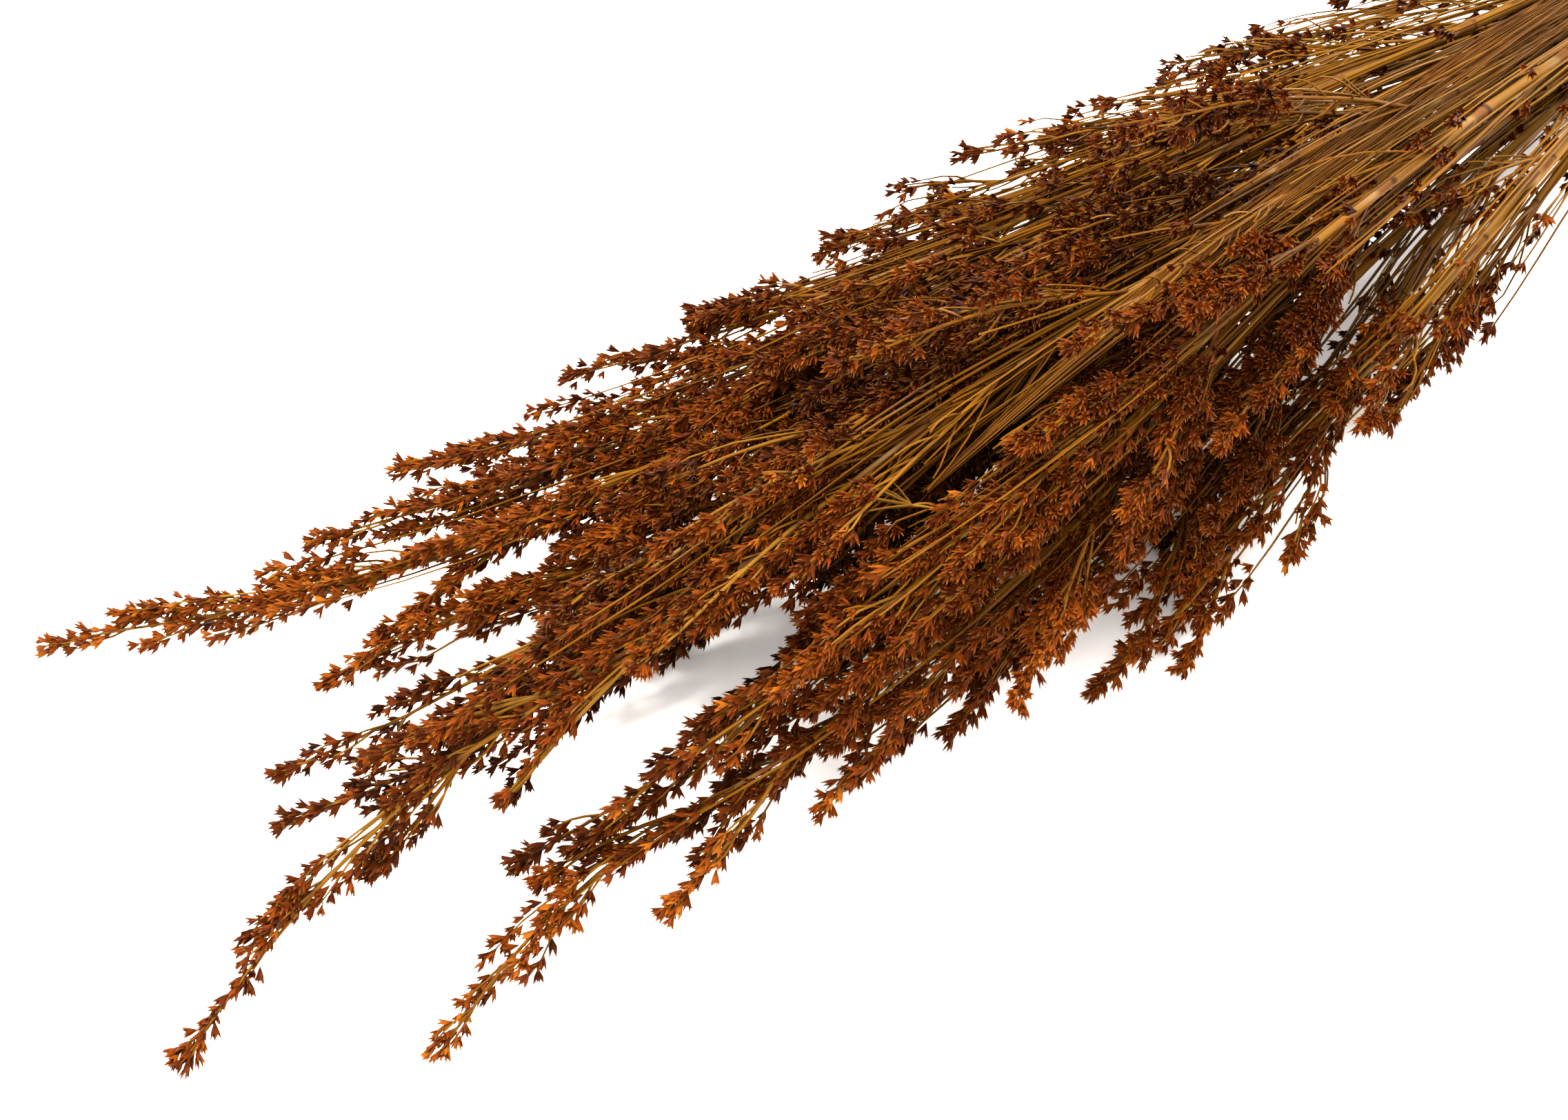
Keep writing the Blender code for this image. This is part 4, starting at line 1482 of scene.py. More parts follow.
@dataclass
class Head:
    """What one stem's twigs and spikelets are gathered into, and what they keep to."""

    owner: int
    layout: Layout
    canopy: Canopy
    furrow: Furrow
    parting: Furrow
    cane_tone: float
    draw: np.random.Generator
    canes: Gather = field(default_factory=Gather)
    spikelets: Spikelets = field(default_factory=Spikelets)
    # How much twig tones are lowered along the bunch, most in its deep middle: painted shade.
    middle_shade: tuple[float, ...] = (0.10, 0.50, 0.30, 0.04)
    middle_shade_at: tuple[float, ...] = (180.0, 290.0, 420.0, 500.0)
    spread: float = 0.2
    darkest: float = 0.08

    @property
    def stem(self) -> StemPlan:
        """The stem's plan."""
        return STEMS[self.owner]

    def tone(self, line: np.ndarray) -> float:
        """A tone for one twig: lowered in the middle of the bunch and more so deep inside, both painted shade.

        Args:
            line: The twig's line.

        Returns:
            The tone.
        """
        middle = line[len(line) // 2]
        middle_shade = np.interp(middle[0], self.middle_shade_at, self.middle_shade)
        own = np.clip(self.cane_tone - middle_shade + self.draw.normal(0.0, self.spread), self.darkest, 1.0)
        return float(own * self.canopy.painted_shade(middle[None])[0])

    def grow_cane(
        self, line: np.ndarray, radii: Span, sides: int, blush: float, turn: float | None = None
    ) -> None:
        """Lays one twig that thins towards its point, with a pink-brown foot.

        Args:
            line: The places of its rings.
            radii: Its radius at its foot and at its point.
            sides: Corners of its section.
            blush: How pink its foot is.
            turn: How far its section is turned, or None to draw it.
        """
        marks = np.zeros((len(line), 3))
        marks[0, 0] = blush
        tone = self.tone(line)
        turned = self.draw.uniform(0.0, TAU) if turn is None else turn
        self.canes.sweep(line, np.linspace(*radii, len(line)), sides, tone, marks, turned)


@dataclass(frozen=True)
class Twig:
    """One fine twig that leaves a line at a low angle and carries spikelets on its outer part."""

    start: float
    length: float
    reach: float
    radii: Span
    bare: float = 0.42
    rings: int = 5
    swing: float = 0.5
    bow: float = 1.55
    overshoot: float = 2.0
    shortest: float = 5.0
    close_in: float = 18.0
    closest: float = 0.35
    floor: float = 0.5
    foot_blush: float = 0.8
    spikelet_step: float = 1.1
    step_play: float = 0.7
    crowding: float = 0.75
    turn_step: float = 2.4
    turn_spread: float = 0.3
    splay: Span = (8.0, 44.0)
    end_splay: float = 0.3
    stand_off: Span = (0.1, 0.7)
    sizes: Span = (0.8, 1.12)
    larger: Span = (1.1, 0.98)
    larger_at: Span = (220.0, 420.0)
    tone_spread: float = 0.17
    tone_limits: Span = (0.05, 0.98)
    # Spikelet tones rise along the bunch from here on: painted light at the open tips, painted shade in the
    # deep middle.
    tip_light_slope: float = 0.0010
    tip_light_slope_from: float = 400.0

    def grow(self, path: Path, angle: float, head: Head) -> None:
        """Grows the twig, unless it would end in the parting.

        Args:
            path: The line that it leaves.
            angle: The side of the line that it takes.
            head: Takes the twig and its spikelets.
        """
        end = min(self.start + self.length, path.length + self.overshoot)
        start = min(self.start, end - self.shortest)
        share = np.linspace(0.0, 1.0, self.rings)
        spots = start + (end - start) * share
        outward = path.beside(spots, angle + head.draw.uniform(-self.swing, self.swing) * share)
        over = np.maximum(spots - path.length, 0.0)[:, None]
        line = path.at(spots) + path.heading(spots) * over
        tapered = np.clip((path.length - spots) / self.close_in, self.closest, 1.0)
        line = line + outward * (self.reach * np.sin(share * self.bow) * tapered)[:, None]
        line[:, 2] = np.maximum(line[:, 2], self.floor)
        if not head.parting.outside(line[-1:]).all():
            return
        head.grow_cane(line, self.radii, 3, self.foot_blush)
        if self.bare < 1.0:
            self.bear(Path(line), head)

    def bear(self, own: Path, head: Head) -> None:
        """Sets spikelets along the outer part of the twig, all of them leaning towards its point.

        Args:
            own: The twig's line.
            head: Takes the spikelets.
        """
        draw = head.draw
        leafy = 1.0 - self.bare
        larger = float(np.interp(own.points[-1, 0], self.larger_at, self.larger))
        count = max(2, round(own.length * leafy / (self.spikelet_step * larger)))
        share = ((np.arange(count) + draw.uniform(0.0, self.step_play, count)) / count) ** self.crowding
        along = own.length * (self.bare + leafy * share)
        along[-1] = own.length
        turns = draw.uniform(0.0, TAU) + np.arange(count) * self.turn_step
        beside = own.beside(along, turns + draw.normal(0.0, self.turn_spread, count))
        splay = np.radians(draw.uniform(*self.splay, count))
        splay[-1] *= self.end_splay
        directions = own.heading(along) * np.cos(splay)[:, None] + beside * np.sin(splay)[:, None]
        places = own.at(along) + beside * draw.uniform(*self.stand_off, count)[:, None]
        # Lighter towards the tips, darker in the middle of the bunch: painted light and painted shade.
        tip_light_and_middle_shade = self.tip_light_slope * (places[:, 0] - self.tip_light_slope_from)
        tones = draw.normal(head.stem.tone, self.tone_spread, count) + tip_light_and_middle_shade
        # Spikelets deep under the canopy keep less tone: painted shade.
        tones = np.clip(tones, *self.tone_limits) * head.canopy.painted_shade(places)
        sizes = draw.uniform(*self.sizes, count) * larger
        free = head.furrow.outside(places) & head.parting.outside(places)
        head.spikelets.add(places[free], directions[free], tones[free], sizes[free])


@dataclass(frozen=True)
class Plume:
    """The fine twigs and spikelets that clothe one main branch."""

    sides: int = 5
    fewest_rings: int = 6
    ring_step: float = 7.0
    radii: Span = (0.54, 0.25)
    waver: float = 0.12
    foot_blush: float = 0.9
    twig_step: float = 3.9
    twig_lengths: Span = (16.0, 9.0)
    twig_spread: Span = (0.7, 1.15)
    twig_radii: Span = (0.34, 0.2)
    twig_bare: float = 0.42
    step_play: float = 0.8
    first_share: float = 0.4
    reach: Span = (2.0, 5.8)
    narrowing: float = 0.2
    companion_each: float = 20.0
    companion_starts: Span = (0.0, 0.12)
    companion_lengths: Span = (0.42, 0.8)
    companion_radii: Span = (0.34, 0.2)
    companion_reach: Span = (1.8, 6.5)
    companion_bare: float = 0.6
    companion_nearly_bare: float = 0.88
    end_twig: Place = (6.0, 8.0, 0.3)
    end_bare: float = 0.2
    sparse_from: float = 110.0
    rise: float = 2.4
    tip_rise: float = 6.0
    culm_from: float = 0.4
    culm_step: float = 3.0
    culm_points: int = 24

    def full(self, path: Path, distance: float, head: Head) -> float:
        """The share of twigs with spikelets at a distance along a line: it rises along the bunch to one."""
        sparse = (self.sparse_from, head.stem.full_from)
        return np.interp(path.at(distance)[0], sparse, (0.0, 1.0)) ** self.rise

    def dress(self, limb: Limb, head: Head) -> None:
        """Dresses one main branch.

        Args:
            limb: The branch.
            head: Takes its twigs and spikelets.
        """
        draw = head.draw
        path = Path(self.kept(limb.line, head.parting))
        rings = max(self.fewest_rings, int(path.length / self.ring_step))
        line = path.at(np.linspace(0.0, path.length, rings))
        line[1:-1] += draw.normal(0.0, self.waver, (rings - 2, 3))
        head.grow_cane(line, self.radii, self.sides, self.foot_blush, 0.0)
        bushy = self.full(path, path.length / 2.0, head)
        for _ in range(max(2, round(path.length / self.companion_each))):
            start = draw.uniform(*self.companion_starts) * path.length
            length = path.length * draw.uniform(*self.companion_lengths)
            bare = self.companion_bare if draw.uniform(0.0, 1.0) < bushy else self.companion_nearly_bare
            twig = Twig(start, length, draw.uniform(*self.companion_reach), self.companion_radii, bare)
            twig.grow(path, draw.uniform(0.0, TAU), head)
        self.clothe(path, limb.bare * self.first_share, self.twig_step, head)
        back, length, reach = self.end_twig
        Twig(path.length - back, length, reach, self.twig_radii, self.end_bare).grow(path, 0.0, head)

    @staticmethod
    def kept(line: np.ndarray, parting: Furrow) -> np.ndarray:
        """The part of a branch that ends before the parting, or all of it where its tip is clear."""
        free = parting.outside(line)
        return line if free[-1] else line[:max(3, int(np.argmin(free)))]

    def clothe(self, path: Path, first: float, step: float, head: Head) -> None:
        """Grows short twigs all along a line.

        Args:
            path: The line.
            first: How far along it they begin.
            step: The distance from one to the next.
            head: Takes the twigs and their spikelets.
        """
        draw = head.draw
        count = int((path.length - first) / step)
        for number in range(count):
            share = (number + draw.uniform(0.0, self.step_play)) / count
            start = first + (path.length - first) * share
            length = np.interp(share, (0.0, 1.0), self.twig_lengths) * draw.uniform(*self.twig_spread)
            reach = draw.uniform(*self.reach) * (1.0 - self.narrowing * share)
            full = max(self.full(path, start, head), share**self.tip_rise)
            bare = self.twig_bare if draw.uniform(0.0, 1.0) < full else 1.0
            Twig(start, length, reach, self.twig_radii, bare).grow(path, draw.uniform(0.0, TAU), head)

    def dress_culm(self, head: Head) -> None:
        """Dresses the upper part of a culm, between its main branches.

        Args:
            head: Takes the twigs and their spikelets.
        """
        first = head.stem.neck + self.culm_from * head.stem.head
        stations = np.linspace(first, head.layout.culm_end(head.stem), self.culm_points)
        self.clothe(Path(head.layout.lines[head.owner].at(stations)), 0.0, self.culm_step, head)


@dataclass(frozen=True)
class Sheaf:
    """Long bare twigs that leave a culm at its joints and run beside it, with few spikelets at the ends."""

    each: tuple[int, int] = (4, 8)
    lengths: Span = (70.0, 190.0)
    reach: Span = (2.6, 9.0)
    radii: Span = (0.50, 0.24)
    bare: float = 0.86
    nearly_bare: float = 0.97
    leafy_from: float = 345.0
    furthest: float = 0.45
    rings: int = 12
    sizes: Span = (0.7, 1.1)
    swing: float = 0.35
    bow: float = 1.7
    first: float = 30.0
    station_step: float = 6.0
    short_of_tip: float = 34.0

    def dress(self, head: Head) -> None:
        """Grows the long twigs of one stem.

        Args:
            head: Takes the twigs and their spikelets.
        """
        draw, stem, layout = head.draw, head.stem, head.layout
        stations = np.concatenate((np.arange(self.first, stem.tip, self.station_step), [stem.tip]))
        path = Path(layout.lines[head.owner].at(stations))
        last = stem.neck + self.furthest * stem.head
        for joint in (joint for joint in layout.joints[head.owner] if joint < last):
            start = float(np.interp(joint, stations, path.marks))
            for _ in range(int(draw.integers(*self.each))):
                length = min(draw.uniform(*self.lengths), path.length - self.short_of_tip - start)
                reach = draw.uniform(*self.reach)
                size = draw.uniform(*self.sizes)
                radii = (self.radii[0] * size, self.radii[1] * size)
                leafy = path.at(start + length)[0] > self.leafy_from
                bare = self.bare if leafy else self.nearly_bare
                twig = Twig(start, length, reach, radii, bare, self.rings, self.swing, self.bow)
                twig.grow(path, draw.uniform(0.0, TAU), head)


@dataclass(frozen=True)
class Band:
    """A coloured band at a joint: its mark, where its middle lies past the joint, and how it fades."""

    mark: int
    middle: float
    half_width: float
    share: float
    power: float

    def shown(self, past: np.ndarray) -> np.ndarray:
        """Its share of the colour at each of the distances past the joint."""
        near = np.clip(1.0 - np.abs(past - self.middle) / self.half_width, 0.0, 1.0)
        return np.where(near > 0.0, near**self.power, 0.0) * self.share


@dataclass(frozen=True)
class Culm:
    """A jointed golden culm with a dark line, a pink-brown band and a pale ring at each joint."""

    sides: int = 12
    step: float = 5.0
    joint_steps: tuple[float, ...] = (
        -1.6, -0.8, -0.3, 0.0, 0.4, 0.9, 1.6, 2.4, 3.4, 4.6, 6.0, 7.5, 9.0, 11.0
    )
    closest_rings: float = 0.2
    point: float = 3.0
    point_radius: float = 0.2
    swell_share: float = 0.8
    swell_at: float = 0.3
    swell_before: float = 9.0
    swell_after: float = 2.4
    slim: float = 0.62
    slim_over: float = 0.4
    bands: tuple[Band, ...] = (
        Band(2, 0.2, 0.5, 0.9, 0.0),
        Band(0, 4.0, 5.5, 0.85, 0.5),
        Band(1, 9.5, 3.0, 0.7, 1.0),
    )

    def build(self, head: Head) -> None:
        """Lays the culm along its stem's line.

        Args:
            head: Takes the culm.
        """
        stem, layout = head.stem, head.layout
        joints, end = layout.joints[head.owner], layout.culm_end(stem)
        xs = self.ring_places(layout.cuts[head.owner], joints, end)
        swell = np.ones(len(xs))
        marks = np.zeros((len(xs), 3))
        for joint in joints:
            past = xs - joint
            beyond = past - self.swell_at
            before = np.exp(np.minimum(beyond, 0.0) / self.swell_before)
            after = np.clip(1.0 - beyond / self.swell_after, 0.0, 1.0)
            swell += (layout.swell - 1.0) * self.swell_share * np.where(past <= self.swell_at, before, after)
            for band in self.bands:
                marks[:, band.mark] = np.maximum(marks[:, band.mark], band.shown(past))
        slimmed = (stem.neck, stem.neck + self.slim_over * stem.head)
        radii = layout.radius(stem, xs) * swell * np.interp(xs, slimmed, (1.0, self.slim))
        radii[-1] = self.point_radius
        line = layout.lines[head.owner].at(xs)
        # The culm's tone is dimmed by the canopy's painted shade.
        head.canes.sweep(line, radii, self.sides, head.cane_tone * head.canopy.painted_shade(line), marks)

    def ring_places(self, cut: float, joints: list[float], end: float) -> np.ndarray:
        """Where along the bunch the culm has rings: evenly all along it, and closer at its joints.

        Args:
            cut: X of its cut end.
            joints: X of its joints.
            end: X of its upper end.

        Returns:
            X of the rings, the last one at the point beyond its end.
        """
        steps = {round(x, 2) for x in np.arange(cut, end, self.step)}
        steps.update(round(joint + step, 2) for joint in joints for step in self.joint_steps)
        xs = np.array(sorted(x for x in steps if cut <= x < end - 1.0) + [end, end + self.point])
        return xs[np.concatenate(([True], np.diff(xs) > self.closest_rings))]


@dataclass(frozen=True)
class Threads:
    """A loose bundle of fine bare branches that runs between the plumes and narrows to a small fork."""

    course: tuple[Place, ...] = (
        (93.0, 4.0, 28.0),
        (135.0, 9.0, 36.0),
        (181.0, 16.0, 45.0),
        (221.0, 21.0, 51.0),
        (258.0, 27.0, 57.0),
        (294.0, 33.0, 63.0),
        (324.0, 38.0, 68.0),
        (350.0, 40.0, 68.5),
        (374.0, 38.0, 62.0),
        (394.0, 38.0, 58.0),
        (410.0, 38.0, 55.0),
    )
    widths: tuple[float, ...] = (3.0, 5.0, 6.5, 7.0, 6.5, 6.0, 5.0, 4.4, 3.6, 2.0, 0.4)
    count: int = 64
    seed: int = 5
    radius: float = 0.17
    rings: int = 22
    sway: float = 1.6
    starts: Span = (0.0, 0.2)
    ends: Span = (0.85, 1.0)
    drift: float = 1.2
    waves: Span = (5.0, 14.0)
    flat: float = 0.4
    taper: float = 0.7
    blush: Span = (0.1, 0.45)
    tones: Span = (0.2, 0.65)
    whorl_place: Place = (413.0, 40.0, 57.0)
    whorl_angles: tuple[float, ...] = (-70.0, -56.0, -46.0, -33.0, -92.0, -108.0, 128.0, 150.0)
    whorl_lengths: tuple[float, ...] = (12.0, 16.0, 14.0, 10.0, 9.0, 7.5, 6.5, 4.5)
    whorl_radii: Span = (0.36, 0.18)
    whorl_rings: int = 5
    whorl_rise: Span = (0.05, 0.35)
    whorl_sag: float = 1.6
    whorl_tones: Span = (0.85, 1.0)
    furrow_widths: tuple[float, ...] = (14.0, 13.0, 12.0, 10.5, 9.0, 7.5, 6.5, 6.0, 6.5, 8.0, 10.0)
    furrow_below: float = 4.0

    def furrow(self) -> Furrow:
        """The trough in which the threads lie."""
        return Furrow.along(self.course, self.furrow_widths, self.furrow_below)

    def build(self, canes: Gather) -> None:
        """Lays the threads side by side along their course.

        Args:
            canes: Takes the threads.
        """
        draw = np.random.default_rng(self.seed)
        path = Path(np.array(self.course, float))
        knots = np.linspace(0.0, 1.0, len(self.widths))
        for _ in range(self.count):
            share = np.linspace(draw.uniform(*self.starts), draw.uniform(*self.ends), self.rings)
            spots = share * path.length
            angle = draw.uniform(0.0, TAU) + draw.uniform(-self.drift, self.drift) * share
            spread = np.interp(share, knots, self.widths) * draw.uniform(0.0, 1.0) ** 0.5
            waves = np.sin(share * draw.uniform(*self.waves) + draw.uniform(0.0, TAU))
            spread += self.sway * waves * (1.0 - share)
            beside = path.beside(spots, angle) * (1.0, 1.0, self.flat)
            marks = np.zeros((self.rings, 3))
            marks[:, 0] = draw.uniform(*self.blush)
            radii = np.linspace(self.radius, self.radius * self.taper, self.rings)
            line = path.at(spots) + beside * spread[:, None]
            canes.sweep(line, radii, 3, draw.uniform(*self.tones), marks)
        self.fork(canes, draw)

    def fork(self, canes: Gather, draw: np.random.Generator) -> None:
        """Grows the small pale fork at the narrow end of the threads.

        Args:
            canes: Takes its twigs.
            draw: The random draws.
        """
        share = np.linspace(0.0, 1.0, self.whorl_rings)[:, None]
        sag = np.array((0.0, 0.0, -self.whorl_sag)) * share * share
        for angle, length in zip(self.whorl_angles, self.whorl_lengths):
            azimuth = math.radians(angle)
            way = np.array((math.cos(azimuth), math.sin(azimuth), draw.uniform(*self.whorl_rise)))
            line = np.array(self.whorl_place) + way * share * length + sag
            radii = np.linspace(*self.whorl_radii, self.whorl_rings)
            canes.sweep(line, radii, 3, draw.uniform(*self.whorl_tones))


@dataclass(frozen=True)
class Strand:
    """One turn of raffia: where it lies along the bunch, how far off the culms, and how far it drifts."""

    place: float
    lift: float
    lean: float


@dataclass(frozen=True)
class Knot:
    """Three crossing loops and one wrap of raffia on top of the band."""

    loops: tuple[Span, ...] = ((0.5, 0.35), (-0.6, 0.63), (1.6, 0.84))
    reach: Span = (3.2, 2.5)
    narrowed: Span = (0.5, 0.7)
    crossing: float = 0.45
    sink: float = 0.3
    rings: int = 15
    sides: int = 8
    radius: float = 1.155
    flat: float = 0.45
    tones: Span = (0.3, 1.0)
    wrap_rings: int = 9
    wrap_radius: float = 1.365
    wrap_flat: float = 0.4
    wrap_tone: float = 0.9
    wrap_rise: float = 1.7
    wrap_arc: float = 1.45
    wrap_drift: float = 0.3

    def wind(self, gather: Gather, height: float, draw: np.random.Generator) -> None:
        """Winds the knot.

        Args:
            gather: Takes the knot.
            height: The height of the band's upper side.
            draw: The random draws.
        """
        turn = np.linspace(0.0, TAU, self.rings)
        wide, deep = self.reach
        for lean, rise in self.loops:
            sine, cosine = math.sin(lean), math.cos(lean)
            x = wide * np.cos(turn) * cosine - deep * self.narrowed[0] * np.sin(turn) * sine
            y = wide * np.cos(turn) * sine + deep * self.narrowed[1] * np.sin(turn) * cosine
            z = height - self.sink + rise + self.crossing * np.sin(turn * 2.0 + lean)
            line = np.stack((x, y, z), axis=1)
            radii = np.full(self.rings, self.radius)
            gather.sweep(line, radii, self.sides, draw.uniform(*self.tones), flat=self.flat)
        y = np.linspace(-deep, deep, self.wrap_rings)
        z = height - self.sink + self.wrap_rise * np.cos(y / deep * self.wrap_arc) ** 0.5
        line = np.stack((self.wrap_drift * np.sin(y), y, z), axis=1)
        radii = np.full(self.wrap_rings, self.wrap_radius)
        gather.sweep(line, radii, self.sides, self.wrap_tone, flat=self.wrap_flat)


@dataclass(frozen=True)
class Tails:
    """The loose split ends of raffia that rise from the knot, both ways along the bunch."""

    sweeps: tuple[float, ...] = (3.0, -1.2, 4.4)
    length: float = 21.0
    shorter: float = 0.22
    gap: float = 0.6
    rise: float = 5.5
    arc: float = 1.9
    radius: float = 1.05
    taper: float = 0.55
    rings: int = 14
    sides: int = 8
    flat: float = 0.36
    tones: Span = (0.4, 1.0)

    def lay(self, gather: Gather, height: float, draw: np.random.Generator) -> None:
        """Lays the ends.

        Args:
            gather: Takes the ends.
            height: The height of the band's upper side.
            draw: The random draws.
        """
        share = np.linspace(0.0, 1.0, self.rings)
        radii = self.radius * (1.0 - self.taper * share)
        for way, (number, sweep) in product((1.0, -1.0), enumerate(self.sweeps)):
            length = self.length * (1.0 - self.shorter * number)
            x = way * (1.0 + length * share)
            y = way * sweep * share * share
            z = height + self.gap + self.rise * np.sin(self.arc * share) * length / self.length
            line = np.stack((x, y, z), axis=1)
            gather.sweep(line, radii, self.sides, draw.uniform(*self.tones), flat=self.flat)


@dataclass(frozen=True)
class Tie:
    """Raffia wound round the culms, knotted on top with loose split ends."""

    bundle: Bundle
    seed: int = 3
    around: int = 64
    across: int = 8
    strands: tuple[Strand, ...] = (
        Strand(-3.1, 0.0, 0.5),
        Strand(-1.4, 0.15, -0.6),
        Strand(0.4, 0.0, 0.7),
        Strand(1.9, 0.2, -0.4),
        Strand(3.2, 0.05, 0.3),
        Strand(-2.2, 0.55, 1.5),
        Strand(1.2, 0.5, -1.6),
    )
    width: float = 2.3
    thickness: float = 0.62
    floor: float = 0.05
    grain_scale: Span = (0.14, 8.0)
    knot: Knot = Knot()
    tails: Tails = Tails()

    def wind(self, ring: RingPattern, gather: Gather, strand: Strand, tone: float) -> None:
        """Lays one flat strand round the bundle.

        Args:
            ring: The ring that it is copied from.
            gather: Takes the strand.
            strand: The strand.
            tone: The value of its colour.
        """
        half = self.thickness / 2.0
        middle = self.bundle.culm_radius + self.bundle.tie_gap + half + strand.lift
        y, z = self.bundle.outline(ring.share, middle + half * np.cos(ring.section)).T
        x = strand.place + strand.lean * np.cos(TAU * ring.share) + self.width / 2.0 * np.sin(ring.section)
        points = np.stack((x, y, np.maximum(z, self.floor)), axis=1)
        ones = np.ones(len(points))
        gather.add(points, ring.pattern.triangles, tone * ones, ones, None, ring.grain * self.grain_scale)

    def build(self) -> Gather:
        """Winds the band, the knot and the ends.

        Returns:
            The whole tie.
        """
        draw = np.random.default_rng(self.seed)
        ring = RingPattern(self.around, self.across)
        gather = Gather()
        for strand in self.strands:
            self.wind(ring, gather, strand, draw.uniform(0.0, 1.0))
        self.knot.wind(gather, self.bundle.top(), draw)
        self.tails.lay(gather, self.bundle.top(), draw)
        return gather


@dataclass(frozen=True)
class Lamp:
    """A soft round lamp that looks at the middle of the bunch."""

    name: str
    watts: float
    place: Place
    target: Place = (360.0, 0.0, 10.0)
    size: float = 380.0
    colour: Colour = (1.0, 0.96, 0.90)

    def hang(self, shift: np.ndarray) -> None:
        """Hangs the lamp.

        Args:
            shift: Where the bunch's own frame lies in the row's frame, in millimetres.
        """
        data = bpy.data.lights.new(self.name, "AREA")
        data.shape = "DISK"
        data.size = self.size * MM
        data.energy = self.watts
        data.color = self.colour
        lamp = bpy.data.objects.new(self.name, data)
        lamp.location = Vector((np.array(self.place) + shift) * MM)
        way = Vector((np.array(self.target) + shift) * MM) - lamp.location
        lamp.rotation_euler = way.to_track_quat("-Z", "Y").to_euler()
        bpy.context.scene.collection.objects.link(lamp)


@dataclass(frozen=True)
class Studio:
    """The pale surface, the soft light and the camera at the photograph's angle."""

    lens: float = 68.03
    sensor: float = 36.0
    clip: Span = (0.01, 50.0)
    eye: Place = (732.3, 324.8, 427.6)
    look: Place = (-0.5255, -0.5255, -0.6691)
    room_colour: Colour = (1.0, 0.955, 0.90)
    room_strength: float = 4.4
    lamps: tuple[Lamp, ...] = (
        Lamp("window", 32.0, (420.0, -90.0, 850.0)),
        Lamp("fill", 3.2, (760.0, 240.0, 560.0)),
    )
    floor_size: float = 12.0

    def build(self, shift: np.ndarray) -> None:
        """Sets up the surface, the light and the camera.

        Args:
            shift: Where the bunch's own frame lies in the row's frame, in millimetres.
        """
        self.surface()
        self.room()
        for lamp in self.lamps:
            lamp.hang(shift)
        self.camera(shift)

    def surface(self) -> None:
        """Lays the surface under the object."""
        Modeller.start()
        bpy.ops.mesh.primitive_plane_add(size=self.floor_size, location=(0.0, 0.0, 0.0))
        item = bpy.context.object
        item.name = "pale_surface"
        item.data.materials.append(SurfaceFinish().make())

    def room(self) -> None:
        """Lights the scene softly from all round."""
        world = bpy.data.worlds.new("soft_room")
        world.use_nodes = True
        background = world.node_tree.nodes["Background"]
        background.inputs["Color"].default_value = (*self.room_colour, 1.0)
        background.inputs["Strength"].default_value = self.room_strength
        bpy.context.scene.world = world

    def camera(self, shift: np.ndarray) -> None:
        """Places the camera.

        Args:
            shift: Where the bunch's own frame lies in the row's frame, in millimetres.
        """
        data = bpy.data.cameras.new("photograph")
        data.lens = self.lens
        data.sensor_width = self.sensor
        data.sensor_fit = "HORIZONTAL"
        data.clip_start, data.clip_end = self.clip
        eye = bpy.data.objects.new("photograph", data)
        eye.location = Vector((np.array(self.eye) + shift) * MM)
        eye.rotation_euler = Vector(self.look).to_track_quat("-Z", "Y").to_euler()
        bpy.context.scene.collection.objects.link(eye)
        bpy.context.scene.camera = eye


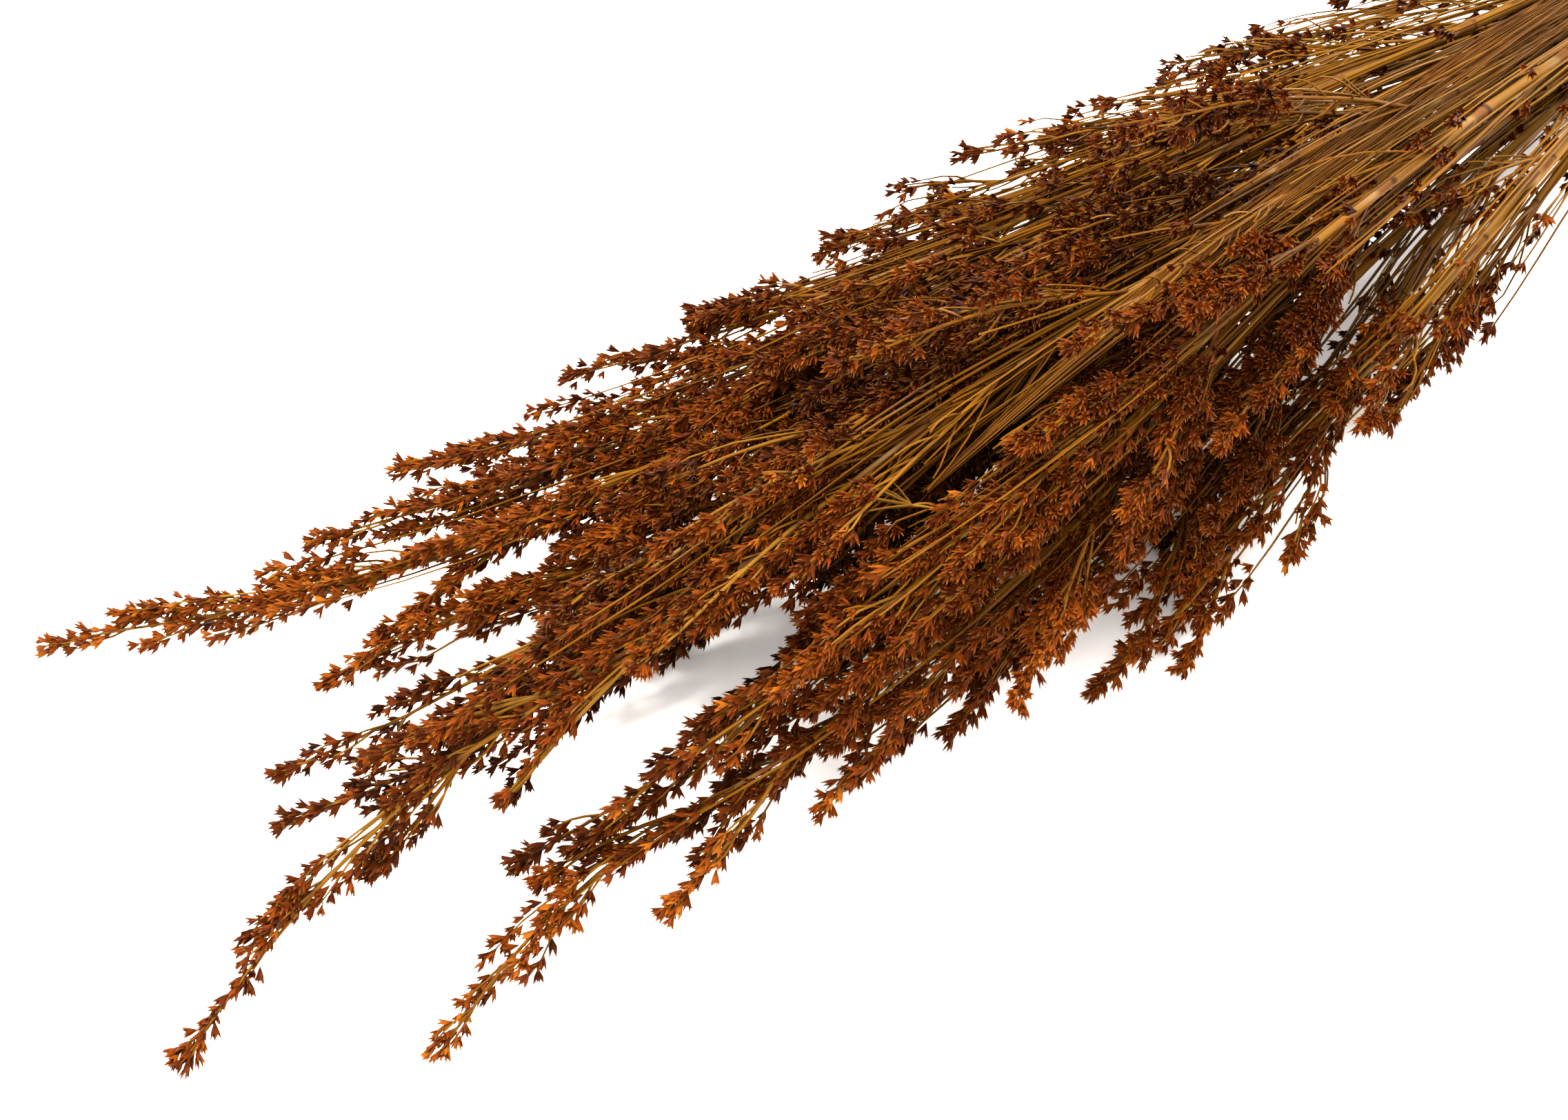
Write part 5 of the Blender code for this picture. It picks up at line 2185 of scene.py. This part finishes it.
@dataclass(frozen=True)
class Bunch:
    """The whole bunch: every stem's canes and plume, the threads and the tie."""

    seed: int = 7
    forms: tuple[SpikeletModel, ...] = (
        SpikeletModel(Form.BUD, 4, 3.8, 0.9, 1),
        SpikeletModel(Form.TULIP, 5, 3.9, 0.8, 2),
        SpikeletModel(Form.TULIP, 6, 3.6, 1.0, 3),
        SpikeletModel(Form.TULIP, 7, 4.0, 0.7, 4),
        SpikeletModel(Form.TUFT, 7, 3.3, 0.9, 5),
        SpikeletModel(Form.TUFT, 6, 3.6, 0.7, 6),
    )
    cane_tones: Span = (0.72, 0.98)
    bundle: Bundle = Bundle()
    sheaf: Sheaf = Sheaf()
    inner: Sheaf = Sheaf((14, 18), (60.0, 120.0), (5.0, 20.0), (0.40, 0.20), 0.3, furthest=0.8)
    inner_node: str = "stem_heart"
    plume: Plume = Plume()
    culm: Culm = Culm()
    threads: Threads = Threads()
    threads_node: str = "stem_crest_mid"
    parting: tuple[Place, ...] = (
        (402.7, -4.2, 0.0),
        (415.6, -0.8, 0.0),
        (433.5, 1.8, 0.0),
        (450.8, 1.3, 0.0),
        (472.3, 1.3, 0.0),
    )
    parting_widths: tuple[float, ...] = (2.0, 6.0, 8.0, 8.0, 5.0)
    parting_below: float = 10.0
    parting_lean: float = 0.785

    @staticmethod
    def shift() -> np.ndarray:
        """Where the bunch's own frame lies in the row's frame, from the tie's box, in millimetres."""
        low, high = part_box("tie")
        return np.array(((low[0] + high[0]) / 2.0, (low[1] + high[1]) / 2.0, 0.0)) / MM

    def build(self) -> None:
        """Builds and hands over every piece."""
        layout = Layout(self.bundle)
        shift = self.shift()
        straw, bracts = StrawFinish().make(), BractFinish().make()
        patterns = [form.model() for form in self.forms]
        canopy = Canopy(layout.limbs)
        furrow = self.threads.furrow()
        parting = Furrow.along(self.parting, self.parting_widths, self.parting_below, self.parting_lean)
        for owner, stem in enumerate(STEMS):
            draw = np.random.default_rng(self.seed * 1000 + owner)
            head = Head(owner, layout, canopy, furrow, parting, draw.uniform(*self.cane_tones), draw)
            self.dress(head)
            canes = head.canes.made(stem.node + "_canes", shift, straw, True)
            plume = head.spikelets.gather(patterns, draw).made(stem.node + "_plume", shift, bracts, False)
            for piece in (canes, plume):
                self.hand_over(piece, stem.node, "preserved_reed")
        tie = Tie(self.bundle).build().made("raffia_tie", shift, RaffiaFinish().make(), True)
        self.hand_over(tie, "tie", "raffia")

    def dress(self, head: Head) -> None:
        """Dresses one stem from its culm to its spikelets.

        Args:
            head: Takes all of it.
        """
        self.culm.build(head)
        self.sheaf.dress(head)
        if head.stem.node == self.inner_node:
            self.inner.dress(head)
        self.plume.dress_culm(head)
        for limb in head.layout.limbs:
            if limb.stem == head.owner:
                self.plume.dress(limb, head)
        if head.stem.node == self.threads_node:
            self.threads.build(head.canes)

    @staticmethod
    def hand_over(item: Item, node: str, slot: str) -> None:
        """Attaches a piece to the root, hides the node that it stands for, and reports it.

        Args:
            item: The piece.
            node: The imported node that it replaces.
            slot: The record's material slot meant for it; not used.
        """
        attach(item, "root")
        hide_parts(node)
        LOG.info("%s stands for %s with %d triangles", item.name, node, len(item.data.polygons))


def main() -> None:
    """Builds the bunch and its studio, and logs the count of faces."""
    logging.basicConfig(level=logging.INFO, format="%(message)s")
    bpy.context.scene.view_settings.view_transform = "Standard"
    Bunch().build()
    Studio().build(Bunch.shift())
    faces = sum(len(item.data.polygons) for item in bpy.data.objects if item.type == "MESH")
    LOG.info("%d faces in all, with the packed solids", faces)


if __name__ == "__main__":
    main()
